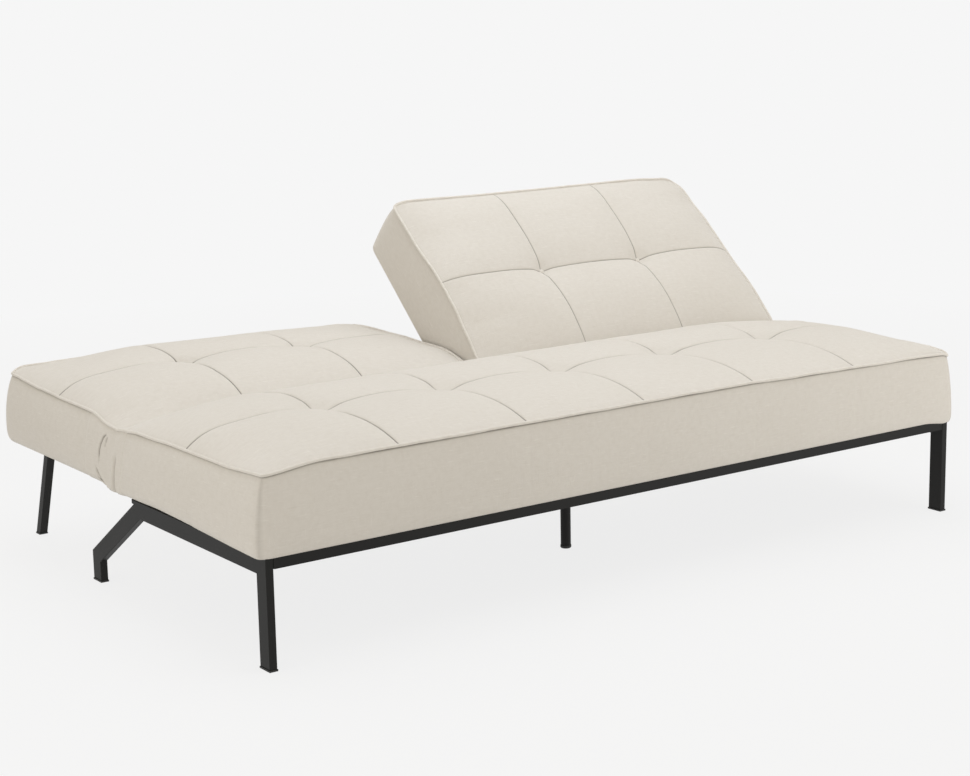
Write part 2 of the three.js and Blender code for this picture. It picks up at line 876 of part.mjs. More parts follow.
// The top of a back half: three panels long and two deep, with its nose in the valley by the hinge
function backTop(side) {
  const inner = backGap / 2;
  return (x, y) => {
    const dy = y - hingeY;
    const outX = side * x;
    const depth = (dy - backFrameFront) / (backLength - backFrameFront);
    const full = THREE.MathUtils.clamp(depth, 0, 1);
    const edge = lerp(backFrontEdge, backRearEdge, full);
    const middle = (inner + halfLength) / 2;
    const along = Math.abs(outX - middle) / (halfLength - middle);
    const panelX = ((outX - inner) / ((halfLength - inner) / columns)) % 1;
    const panelY = (full * 2) % 1;
    const size = [columnWidth, (backLength - backFrameFront) / 2];
    const rise = padding(along, panelX, panelY, full, size) + edgeRise * (1 - along ** flatness) * wave(full / 2);
    const start = noseTopReach - noseRadius;
    const settle = THREE.MathUtils.clamp((dy - start) / (backFrameFront + noseTopReach - start), 0, 1);
    return lerp(valleyHeight, edge, settle ** settling) + rise;
  };
}

// The cut that rounds the end of a back half about the hinge
function noseCut() {
  const wide = halfLength + bandBulge + overrun;
  const before = block(
    [-wide, hingeY - noseRadius * 2, 0],
    [wide, hingeY + noseTopReach, hingeZ * 2],
  );
  return before.subtract(barX(noseRadius, -wide - overrun, wide + overrun, hingeY, hingeZ, noseSides));
}

// The room that the hinge plates need inside the padding of a back half
function hingePocket(side, place) {
  const { slot } = hingeStack(side, place);
  const sector = (radius, from) => [[0, 0], ...arc(radius, from, slotToAngle, outlineSteps * 4)];
  const low = backBottom - hingeZ - overrun;
  const channel = [
    [0, low],
    [backRecessFront + overrun, low],
    [backRecessFront + overrun, hubRadius + fit],
    [0, hubRadius + fit],
  ];
  return slab(aboutHinge(sector(slotRadius, slotFromAngle)), ...slot)
    .add(slab(aboutHinge(sector(pawlPocketRadius, pawlPocketFromAngle)), ...slot))
    .add(slab(aboutHinge(channel), ...slot))
    .add(barX(pocketRadius, ...slot, hingeY, hingeZ, roundSides * 2));
}

function backCushion(side) {
  const inner = backGap / 2 + innerBulge;
  const outer = halfLength - pipingInset;
  const rear = hingeY + backLength - pipingInset;
  const across = gridLines(inner, outer, columns);
  const xs = side > 0 ? across : across.map((x) => -x).reverse();
  const start = hingeY - noseRadius - overrun;
  const noseLines = noseLineShares.map((share) => lerp(start, hingeY + backFrameFront, share));
  let cushion = cushionBody({
    xs,
    ys: [...noseLines, ...gridLines(hingeY + backFrameFront, rear, 2)],
    radius: backCornerRadius,
    top: backTop(side),
    bottom: backBottom,
    roundFront: false,
    innerWay: -side,
  });
  const recess = block(
    [side * (backGap / 2 + innerWall), hingeY + backRecessFront, 0],
    [side * (halfLength - backSideWall), rear - backRecessRearWall, backRecessTop],
  );
  cushion = cushion.subtract(noseCut()).subtract(recess);
  for (const place of ["outer", "inner"]) cushion = cushion.subtract(hingePocket(side, place));
  return cushion;
}

function backFrame(body, { name, side }) {
  const outer = hingeStack(side, "outer").tube;
  const inner = hingeStack(side, "inner").tube;
  const front = hingeY + backFrameFront;
  const rear = hingeY + backFrameRear;
  const high = backTubeLow + backTube;
  const bar = (axis, a, b) => hollowTube([...a, backTubeLow], [...b, high], axis);
  addPart(body, `back_tube_outer_${name}`, bar(1, [outer[0], front], [outer[1], rear]), steel);
  addPart(body, `back_tube_inner_${name}`, bar(1, [inner[0], front], [inner[1], rear]), steel);
  const ends = [outer[1] - side * fit, inner[1] + side * fit];
  const frontTube = bar(0, [ends[0], front], [ends[1], front + backTube]);
  addPart(body, `back_tube_front_${name}`, frontTube, steel);
  const rearTube = bar(0, [ends[0], rear - backTube], [ends[1], rear]);
  addPart(body, `back_tube_rear_${name}`, rearTube, steel);
}

// Elastic straps woven over the tubes of a back half
function backWebbing({ side }) {
  const outer = hingeStack(side, "outer").tube;
  const inner = hingeStack(side, "inner").tube;
  const front = hingeY + backFrameFront;
  const rear = hingeY + backFrameRear;
  const low = backTubeLow + backTube + fit;
  const high = low + strapThickness;
  const half = strapWidth / 2;
  let straps = null;
  const put = (strap) => {
    straps = straps ? straps.add(strap) : strap;
  };
  for (const share of longStrapShares) {
    const y = lerp(front, rear, share);
    put(block([outer[0], y - half, low], [inner[0], y + half, high]));
  }
  for (let i = 0; i < crossStraps; i++) {
    const x = lerp(outer[1], inner[1], (i + 1 / 2) / crossStraps);
    put(block([x - half, front, low], [x + half, rear, high]));
  }
  return straps;
}

// A leg's outline, cut level at both ends: its centre line leans back to the floor
function leanOutline(width, zLow, zHigh) {
  const shift = Math.tan(radians(legLean));
  const half = width / 2 / Math.cos(radians(legLean));
  const centre = (z) => hingeY + legFloorBehindHinge - z * shift;
  return [
    [centre(zLow) - half, zLow],
    [centre(zLow) + half, zLow],
    [centre(zHigh) + half, zHigh],
    [centre(zHigh) - half, zHigh],
  ];
}

const legPlateTop = backTubeLow - fit;

function legX(side) {
  return side * (halfLength - legFromEnd);
}

function legPlateSpan(side, margin) {
  const y = hingeY + legFloorBehindHinge - legPlateTop * Math.tan(radians(legLean));
  const long = legPlateLength / 2 + margin;
  const wide = legPlateWidth / 2 + margin;
  return [
    [legX(side) - wide, y - long],
    [legX(side) + wide, y + long],
  ];
}

function backLeg(side) {
  const half = legTube / 2;
  const x = legX(side);
  const bottom = footThickness + fit;
  const plateLow = legPlateTop - legPlateThickness;
  const [low, high] = legPlateSpan(side, 0);
  const bore = leanOutline(legTube - tubeWall * 2, 0, plateLow);
  return slab(leanOutline(legTube, bottom, plateLow + tubeWall), x - half, x + half)
    .subtract(slab(bore, x - half + tubeWall, x + half - tubeWall))
    .add(block([...low, plateLow], [...high, legPlateTop]));
}

function backLegFoot(side) {
  const half = legTube / 2;
  const x = legX(side);
  const plugHalf = half - tubeWall - fit;
  const flange = leanOutline(legTube + footLip * 2, 0, footThickness);
  const plug = leanOutline(plugHalf * 2, 0, footThickness + plugHeight);
  return slab(flange, x - half - footLip, x + half + footLip).add(
    slab(plug, x - plugHalf, x + plugHalf),
  );
}

// The cloth that closes a back half underneath, cut out round its leg
function backLining({ side }) {
  const high = backTubeLow - fit;
  const [low, far] = legPlateSpan(side, fit);
  const sheet = block(
    [side * (hingeStack(side, "inner").tube[0] * side), hingeY + backRecessFront + fit, high - coverThickness],
    [side * (halfLength - backSideWall - fit), hingeY + backLength - backRecessRearWall - pipingInset - fit, high],
  );
  return sheet.subtract(block([...low, 0], [...far, hingeZ]));
}

function buildBase() {
  const base = new THREE.Group();
  const rearFootY = hingeY + footRearBehindHinge - tubeDepth;
  for (const { name, side } of halves) {
    addPart(base, `side_frame_${name}`, sideFrame(side), steel);
    addPart(base, `front_foot_${name}`, tubeFoot(side, frontY), plastic);
    addPart(base, `rear_foot_${name}`, tubeFoot(side, rearFootY), plastic);
    for (const place of ["outer", "inner"]) {
      addPart(base, `hinge_seat_plate_${name}_${place}`, seatPlate(side, place), zinc);
      addPart(base, `hinge_pin_${name}_${place}`, pivotPin(side, place), zinc);
      addPart(base, `pawl_spring_${name}_${place}`, pawlSpring(side, place), zinc);
      addPart(base, `pawl_${name}_${place}`, pawl(side, place), zinc);
    }
  }
  addPart(base, "front_rail", crossRail(frontY), steel);
  addPart(base, "rear_rail", crossRail(rearRailY), steel);
  addPart(base, "centre_beam", centreBeam(), steel);
  addPart(base, "middle_leg", middleLeg(), steel);
  addPart(base, "middle_foot", middleFoot(), plastic);
  seatTubes(base);
  addPart(base, "seat_springs", seatSprings(), zinc);
  addPart(base, "seat_cushion", seatCushion(), linen);
  addPart(base, "seat_dust_cover", seatDustCover(), lining);
  return base;
}

// A back half, built lying flat and then turned up about the hinge
function buildBack(half) {
  const { name, side, raised } = half;
  const flat = new THREE.Group();
  backFrame(flat, half);
  for (const place of ["outer", "inner"])
    addPart(flat, `hinge_back_arm_${name}_${place}`, backArm(side, place), zinc);
  addPart(flat, `back_webbing_${name}`, backWebbing(half), webbing);
  addPart(flat, `back_cushion_${name}`, backCushion(side), linen);
  addPart(flat, `back_lining_${name}`, backLining(half), linen);
  addPart(flat, `back_leg_${name}`, backLeg(side), steel);
  addPart(flat, `back_leg_foot_${name}`, backLegFoot(side), plastic);
  flat.position.set(0, -hingeY, -hingeZ);
  const back = new THREE.Group();
  back.add(flat);
  back.position.set(0, hingeY, hingeZ);
  back.rotation.x = radians(raised);
  return back;
}

const sofaBed = new THREE.Group();
sofaBed.add(buildBase());
for (const half of halves) sofaBed.add(buildBack(half));

export default sofaBed;
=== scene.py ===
"""Looks of the click clack sofa bed: its cushions, covers, finishes, light and camera.

Lengths are in metres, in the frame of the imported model: X along the bed, front to -Y, Z up.
A share runs from 0 to 1. On a band it is a height, from 0 at the foot to 1 at the piping.
Waves are the factor by which a place is multiplied before its noise is taken.
"""
import json
import math

import bmesh
import bpy
from mathutils import Matrix, Vector, noise


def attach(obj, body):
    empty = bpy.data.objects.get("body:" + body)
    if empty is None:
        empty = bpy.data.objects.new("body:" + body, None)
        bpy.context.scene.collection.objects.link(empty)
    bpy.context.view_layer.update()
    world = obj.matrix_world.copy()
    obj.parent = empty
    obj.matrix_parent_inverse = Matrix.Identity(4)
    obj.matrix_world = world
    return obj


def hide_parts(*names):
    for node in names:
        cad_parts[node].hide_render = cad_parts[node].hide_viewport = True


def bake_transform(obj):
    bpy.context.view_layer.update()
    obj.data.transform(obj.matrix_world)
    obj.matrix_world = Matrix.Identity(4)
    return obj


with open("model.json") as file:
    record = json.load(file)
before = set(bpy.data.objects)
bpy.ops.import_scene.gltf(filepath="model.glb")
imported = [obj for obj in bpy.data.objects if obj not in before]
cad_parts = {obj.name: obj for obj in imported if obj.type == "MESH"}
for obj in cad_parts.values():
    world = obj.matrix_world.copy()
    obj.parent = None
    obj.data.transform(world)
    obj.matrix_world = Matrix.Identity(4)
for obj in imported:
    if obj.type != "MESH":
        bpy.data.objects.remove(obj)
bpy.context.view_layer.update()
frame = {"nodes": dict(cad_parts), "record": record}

# Hinge line and the angle at which the right half stands
HINGE_Y = 0.030
HINGE_Z = 0.327
RAISED = math.radians(43.4)

# Plan of the cushions, up to their piping
HALF = 0.988
COLUMN = 0.330
INNER = 0.008
SEAT_FRONT = -0.673
SEAT_ROW = -0.344
SEAT_REAR = -0.012
SEAT_RIGHT = 0.994
BACK_FRONT = -0.034
BACK_ROW = 0.302
BACK_REAR = 0.586
SEAT_BOTTOM = 0.2403
BACK_BOTTOM = 0.2545

# Rounding of the cushions' corners in plan: front left, front right, rear left and rear right
HINGE_CORNER = 0.006
SEAT_CORNERS = (0.007, 0.017, HINGE_CORNER, HINGE_CORNER)
LEFT_BACK_CORNERS = (HINGE_CORNER, HINGE_CORNER, 0.020, 0.022)
RIGHT_BACK_CORNERS = (HINGE_CORNER, HINGE_CORNER, 0.018, 0.046)

# Radius of the backs' edge about the hinge line, the seat's clearance from it, and how far back it fades
NOSE = 0.0875
NOSE_CLEARANCE = 0.002
NOSE_FADE = 0.055

# Grid of a cover: its usual step, lines close beside a seam and an edge, and what counts as on a seam
STEP = 0.0110
BESIDE_SEAM = [0.0016, 0.0065]
BESIDE_LOW_COLUMN = [0.0020, 0.0070]
BESIDE_LOW_ROW = [0.0034, 0.0085]
BESIDE_EDGE = [0.004, 0.011, 0.020]
ON_SEAM = BESIDE_SEAM[0] / 2

# Powers of a panel's hump toward a free end, a column and a row, and of the slope down to a tuft
END_POWER = 6
COLUMN_POWER = 2.4
ROW_POWER = 3.4
TUFT_POWER = 0.8

# How far the bands stand out: at the bed's ends, along the seat, along a back and between the halves
END_BULGE = 0.0255
LONG_BULGE = 0.0065
BACK_BULGE = 0.0090
INNER_BULGE = 0.0012

# Swell of a back's rear band above its middle, and the factor that brings its curve near 1
REAR_SWELL = 0.0055
SWELL_FACTOR = 6

# Unevenness of a band, and how far from the hinge it starts and is whole
BAND_WAVES = 9
BAND_UNEVEN = 0.002
EVEN_REACH = 0.14
EVEN_FADE = 0.06

# Sag of the seat's soft corner over the rail: its depth, its reach and its share of the band
CORNER_SAG = 0.0085
SAG_REACH = 0.09
SAG_SHARE = 0.22

# Lift of the foot of the seat's end bands: its height, where it starts, its run and its share of the band
END_LIFT = 0.0105
LIFT_FROM = -0.68
LIFT_RUN = 0.45
LIFT_SHARE = 0.35

# Steps by which the base is drawn in to its flat middle
BASE_STEPS = [0.010, 0.014]

# How deep a seam is drawn in, and how far from the piping it is whole
SEAM_DEPTH = 0.0038
SEAM_FADE = 0.016

# The width from which a tuft flattens its seams, and the strength that it leaves them
WIDE_TUFT = 0.05
WIDE_TUFT_SEAM = 0.12

# Painted shade on the upright seam at a free corner: its strength, its least way from the hinge and its
# width
CORNER_SEAM_SHADE = 0.17
CORNER_FROM_HINGE = 0.1
CORNER_WIDTH = 0.12

# The painted shade under the piping, along its stitched line: the shares down to which it lies and
# down to which the piping covers it, its strength away from the front, and how strongly it shows
# clear of the piping
SHADE_LINE_SHARE = 0.97
PIPED_SHARE = 0.98
SHADE_LINE_SIDE = 0.55
UNDER_PIPING = 0.55

# Radius of the piping, how far out and up it lies in radii, and the waves and size of its wander
PIPING = 0.0035
PIPING_OUT = 0.45
PIPING_UP = 0.1
PIPING_WANDER = [(14, 0.0012), (45, 0.0006)]

# What holds a cover while it is filled: a seam of this strength, and the reach of tuft, base and hinge
SEWN_SHARE = 0.25
TUFT_HOLD = 0.012
BASE_HOLD = 0.004
HINGE_HOLD = 0.03

# Filling of a cover: its pressure, the slack of the cloth, the frames it takes and the furthest move
FILL_PRESSURE = 5
FILL_SLACK = 0.004
FILL_FRAMES = 16
FILL_CAP = 0.005

# Radius of a tuft's knot, its height in radii and above the pit, and its gathers: number and depth
KNOT = 0.0068
KNOT_HEIGHT = 0.5
KNOT_RISE = 0.0005
WIDE_GATHERS, WIDE_GATHER_DEPTH = 7, 0.10
FINE_GATHERS, FINE_GATHER_DEPTH = 13, 0.05

# The pleat's reach over the hinge, and the room that the end bands leave behind it
END_ZONE = HALF - 0.02
PLEAT_FROM, PLEAT_TO = -0.074, 0.120
PLEAT_TUCK = 0.012
PLEAT_ROOM = 0.007
ROOM_FADE = 0.014
ROOM_RATE = 9

# The pleat's height, thickness and grid, and the share of its height that turns in at its hem
PLEAT_HEIGHT = 0.169
PLEAT_THICKNESS = 0.0012
PLEAT_GRID = (150, 96)
HEM_SHARE = 0.06
HEM_TURN = 0.014

# Lowest line of the pleat, and its folds: each a line of (y, z), its width, its depth and its painted shade
PLEAT_HEM = [
    (-0.074, 0.2490), (-0.052, 0.2480), (-0.026, 0.2490), (0.008, 0.2530), (0.038, 0.2545), (0.062, 0.2562),
]
PLEAT_FOLDS = [
    (
        [(-0.043, 0.240), (-0.036, 0.256), (-0.0325, 0.275), (-0.033, 0.305), (-0.037, 0.350)],
        0.0056, 0.0066, 0.34,
    ),
    ([(0.000, 0.247), (0.024, 0.266), (0.036, 0.276), (0.062, 0.299)], 0.0030, 0.0064, 1.0),
    ([(0.022, 0.265), (0.054, 0.273)], 0.0022, 0.0036, 0.85),
    (
        [(0.040, 0.300), (0.042, 0.336), (0.038, 0.352), (0.033, 0.366), (0.020, 0.374)],
        0.0024, 0.0052, 0.95,
    ),
    ([(0.021, 0.343), (0.017, 0.370)], 0.0028, 0.0030, 0.45),
]

# A fold that starts below this height comes whole out of the hem, and how fast others grow and fade
HEM_FOLD = 0.25
FOLD_GROWS, FOLD_FADES = 5, 4

# Folds narrower than this fray and break up: waves, seed and size of the fray, then of the breaks
NARROW_FOLD = 0.004
FRAY = [((90, 90), 5, 0.0016), ((260, 260), 9, 0.0008)]
BREAKS = ((40, 120), 2)
UNBROKEN = 0.95

# A fold's raised lip: its distance and width in widths of the fold, and its share of the depth
LIP_AWAY = 2.1
LIP_WIDTH = 1.3
LIP_SHARE = 0.22

# How much narrower than its dip a fold's painted shade is
SHADE_NARROWER = 1.2

# Where the pleat's top and its body pass from the seat to the back: from, and over how far
TOP_PASS = (-0.034, 0.026)
BODY_PASS = (-0.012, 0.060)

# How far the pleat stands off the band: where it is sewn, in its middle, and everywhere
PLEAT_SUNK, PLEAT_PROUD = -0.0018, 0.0008
PLEAT_OFF = 0.0004
PLEAT_UNDER_PIPING = 0.0005

# How far from its sides and its top the pleat's folds are whole, and the turned one's share of painted
# shade
FOLD_SIDE_FADE = 0.03
FOLD_TOP_FADE = 0.016
TURNED_SHADE = 0.7

# Rumples all over the pleat: their waves and seed, and their size
RUMPLES = ((34, 16), 3)
RUMPLE = 0.0016

# Where the turned pleat leans from the flat half's place to the raised half's: from and to
FOLD_START, FOLD_END = -0.030, 0.095

# Outset and share of height of the rings down a band, from the piping to the base
SEAT_BAND = [
    (0.0, 0.986), (0.062, 0.972), (0.0975, 0.962), (0.22, 0.92), (0.40, 0.83), (0.57, 0.72),
    (0.71, 0.60), (0.83, 0.48), (0.92, 0.36), (0.96, 0.24), (1.0, 0.13), (0.98, 0.055),
    (0.82, 0.005), (0.50, -0.016), (0.20, -0.012), (-0.40, 0.0),
]
BACK_BAND = [
    (0.0, 0.986), (0.08, 0.972), (0.129, 0.962), (0.32, 0.90), (0.53, 0.80), (0.71, 0.68),
    (0.85, 0.55), (0.94, 0.42), (0.99, 0.30), (1.0, 0.20), (0.95, 0.12), (0.80, 0.06),
    (0.52, 0.018), (0.10, -0.002), (-0.5, 0.0),
]


def lerp(a, b, t):
    return a + (b - a) * t


def clamp(value, low=0.0, high=1.0):
    return max(low, min(high, value))


def smooth(value):
    t = clamp(value)
    return t * t * (3 - 2 * t)


def through(points, at):
    """The height at a place on a smooth line through a few points."""
    if at <= points[0][0]:
        return points[0][1]
    for (a, low), (b, high) in zip(points, points[1:]):
        if at <= b:
            return lerp(low, high, smooth((at - a) / (b - a)))
    return points[-1][1]


def arch(t, low_power, high_power):
    """A hump from 0 to 1 and back: the greater its power, the steeper that end."""
    power = low_power if t < 0.5 else high_power
    return 1 - abs(2 * clamp(t) - 1) ** power


def linked(name, data):
    """A new object of the scene."""
    thing = bpy.data.objects.new(name, data)
    bpy.context.collection.objects.link(thing)
    return thing


def object_of(bm, name):
    """Makes an object of a finished bmesh."""
    mesh = bpy.data.meshes.new(name)
    bm.to_mesh(mesh)
    bm.free()
    return linked(name, mesh)


def lines_between(marks, beside):
    """Grid lines through each mark, with close lines beside it and even steps between."""
    lines = []
    last = len(marks) - 1
    for i, (a, b) in enumerate(zip(marks, marks[1:])):
        start = BESIDE_EDGE if i == 0 else beside
        stop = BESIDE_EDGE if i + 1 == last else beside
        low, high = a + start[-1], b - stop[-1]
        count = max(1, round((high - low) / STEP))
        lines += [a] + [a + d for d in start[:-1]]
        lines += [lerp(low, high, k / count) for k in range(count + 1)]
        lines += [b - d for d in reversed(stop[:-1])]
    return lines + [marks[-1]]


class Top:
    """The height of a tufted top: panels between seams that arch from tuft to tuft.

    The seams lie at xs and ys, and the first and last of them are the piping. Its heights are in
    ends, left and right, and in edges, front and rear. A row has the heights of its tufts and the
    arches between them, and columns have arches too: an arch is its rise and the powers of its two
    ends. Pillows say how far each panel swells, and the pit is a tuft's radius and depth.
    """

    def __init__(self, xs, ys, ends, edges, row, columns, pillows, pit):
        self.xs, self.ys, self.ends, self.edges = xs, ys, ends, edges
        self.row_heights, self.row_arches = row
        self.columns, self.pillows, self.pit = columns, pillows, pit

    def row(self, j, x):
        if j != 1:
            return through(self.edges[0 if j == 0 else 1], x)
        i, u = self.panel(self.xs, x)
        lift, low, high = self.row_arches[i]
        return lerp(self.row_heights[i], self.row_heights[i + 1], u) + lift * arch(u, low, high)

    def column(self, i, j, y, v):
        if i == 0:
            return through(self.ends[0], y)
        if i == len(self.xs) - 1:
            return through(self.ends[1], y)
        lift, low, high = self.columns[j][i - 1]
        return lerp(self.row(j, self.xs[i]), self.row(j + 1, self.xs[i]), v) + lift * arch(v, low, high)

    def panel(self, marks, at):
        """The number of the panel at a place, and how far across the panel it is."""
        for i, (a, b) in enumerate(zip(marks, marks[1:])):
            if at <= b or i == len(marks) - 2:
                return i, clamp((at - a) / (b - a))

    def height(self, x, y):
        i, u = self.panel(self.xs, x)
        j, v = self.panel(self.ys, y)
        across = lerp(self.row(j, x), self.row(j + 1, x), v)
        along = lerp(self.column(i, j, y, v), self.column(i + 1, j, y, v), u)
        corners = lerp(
            lerp(self.row(j, self.xs[i]), self.row(j, self.xs[i + 1]), u),
            lerp(self.row(j + 1, self.xs[i]), self.row(j + 1, self.xs[i + 1]), u),
            v,
        )
        z = across + along - corners
        low = END_POWER if i == 0 else COLUMN_POWER
        high = END_POWER if i == len(self.xs) - 2 else COLUMN_POWER
        z += self.pillows[j][i] * arch(u, low, high) * arch(v, ROW_POWER, ROW_POWER)
        return self.pulled(x, y, z)

    def tufts(self):
        return [(x, self.ys[1], z) for x, z in zip(self.xs[1:-1], self.row_heights[1:-1])]

    def pulled(self, x, y, z):
        """A tuft draws the cover down to itself."""
        radius, depth = self.pit
        for tx, ty, tz in self.tufts():
            away = math.hypot(x - tx, y - ty)
            if away < radius:
                z = lerp(tz - depth, z, smooth(away / radius) ** TUFT_POWER)
        return z


seat_top = Top(
    xs=[-HALF, -2 * COLUMN, -COLUMN, 0, COLUMN, 2 * COLUMN, SEAT_RIGHT],
    ys=[SEAT_FRONT, SEAT_ROW, SEAT_REAR],
    ends=[
        [
            (SEAT_FRONT, 0.411), (-0.520, 0.4035), (-0.300, 0.403), (-0.120, 0.399), (-0.055, 0.394),
            (SEAT_REAR, 0.3895),
        ],
        [
            (SEAT_FRONT, 0.403), (-0.650, 0.411), (-0.595, 0.4155), (-0.250, 0.4185), (-0.150, 0.417),
            (-0.055, 0.408), (SEAT_REAR, 0.396),
        ],
    ],
    edges=[
        [
            (-HALF, 0.411), (-0.855, 0.4235), (0.324, 0.4245), (0.475, 0.420), (0.814, 0.4155),
            (0.968, 0.411), (SEAT_RIGHT, 0.403),
        ],
        [(-HALF, 0.386), (-0.9, 0.391), (0.9, 0.393), (SEAT_RIGHT, 0.396)],
    ],
    row=(
        [0.403, 0.436, 0.436, 0.436, 0.435, 0.434, 0.417],
        [
            (0.032, 4.5, 2.4), (0.023, 2.2, 2.2), (0.021, 2.2, 2.2), (0.021, 2.2, 2.2),
            (0.020, 2.2, 2.2), (0.027, 2.4, 2.8),
        ],
    ),
    columns=[[(0.026, 2.2, 2.2)] * 3 + [(0.024, 2.2, 2.2)] * 2, [(0.040, 1.8, 6)] * 5],
    pillows=[
        [0.006, -0.008, -0.008, -0.008, -0.008, 0.0],
        [0.004, -0.008, -0.008, -0.008, -0.008, -0.006],
    ],
    pit=(0.062, 0.0),
)

left_back_top = Top(
    xs=[-HALF, -2 * COLUMN, -COLUMN, -INNER],
    ys=[BACK_FRONT, BACK_ROW, BACK_REAR],
    ends=[
        [
            (BACK_FRONT, 0.387), (-0.011, 0.390), (0.027, 0.393), (0.110, 0.410), (0.280, 0.413),
            (0.400, 0.417), (0.560, 0.426), (BACK_REAR, 0.427),
        ],
        [
            (BACK_FRONT, 0.398), (0.150, 0.431), (0.330, 0.4355), (0.500, 0.437), (0.560, 0.434),
            (BACK_REAR, 0.427),
        ],
    ],
    edges=[
        [(-HALF, 0.386), (-0.9, 0.393), (-0.1, 0.395), (-INNER, 0.398)],
        [
            (-HALF, 0.427), (-0.955, 0.4375), (-0.70, 0.4395), (-0.45, 0.4355), (-0.20, 0.4345),
            (-0.04, 0.434), (-INNER, 0.427),
        ],
    ],
    row=([0.4135, 0.443, 0.443, 0.433], [(0.031, 4.5, 2.4), (0.023, 2.2, 2.2), (0.017, 2.2, 5)]),
    columns=[[(0.042, 3, 1.9)] * 2, [(0.027, 2.2, 3.6), (0.023, 2.2, 3.6)]],
    pillows=[[0.004, -0.009, -0.004], [-0.002, -0.007, -0.004]],
    pit=(0.046, 0.004),
)

right_back_top = Top(
    xs=[INNER, COLUMN, 2 * COLUMN, HALF],
    ys=[BACK_FRONT, BACK_ROW, BACK_REAR],
    ends=[
        [
            (BACK_FRONT, 0.388), (0.069, 0.420), (0.146, 0.430), (0.228, 0.4405), (0.305, 0.441),
            (0.473, 0.424), (BACK_REAR, 0.420),
        ],
        [
            (BACK_FRONT, 0.388), (0.061, 0.426), (0.149, 0.430), (0.313, 0.421), (0.418, 0.418),
            (0.509, 0.409), (BACK_REAR, 0.405),
        ],
    ],
    edges=[
        [(INNER, 0.388), (0.1, 0.395), (0.9, 0.395), (HALF, 0.388)],
        [
            (INNER, 0.420), (0.05, 0.4285), (0.335, 0.4235), (0.820, 0.4235), (0.92, 0.416),
            (HALF, 0.405),
        ],
    ],
    row=([0.441, 0.441, 0.436, 0.422], [(0.020, 4, 2.4), (0.013, 2.2, 2.2), (0.026, 2.4, 4)]),
    columns=[[(0.043, 3, 1.9)] * 2, [(0.021, 2.2, 4.5)] * 2],
    pillows=[[-0.004, -0.006, 0.0], [0.002, -0.004, 0.0]],
    pit=(0.034, 0.006),
)


def end_lift(share, y):
    """How far the foot of the seat's end band is rounded up off the side rail, toward the rear."""
    return END_LIFT * clamp((y - LIFT_FROM) / LIFT_RUN) * smooth(1 - share / LIFT_SHARE)


def next_ring(bm, ring):
    """Extrudes a ring of edges once, and gives the new ring's edges and corners."""
    made = bmesh.ops.extrude_edge_only(bm, edges=ring)["geom"]
    edges = [g for g in made if isinstance(g, bmesh.types.BMEdge)]
    corners = [g for g in made if isinstance(g, bmesh.types.BMVert)]
    return edges, corners


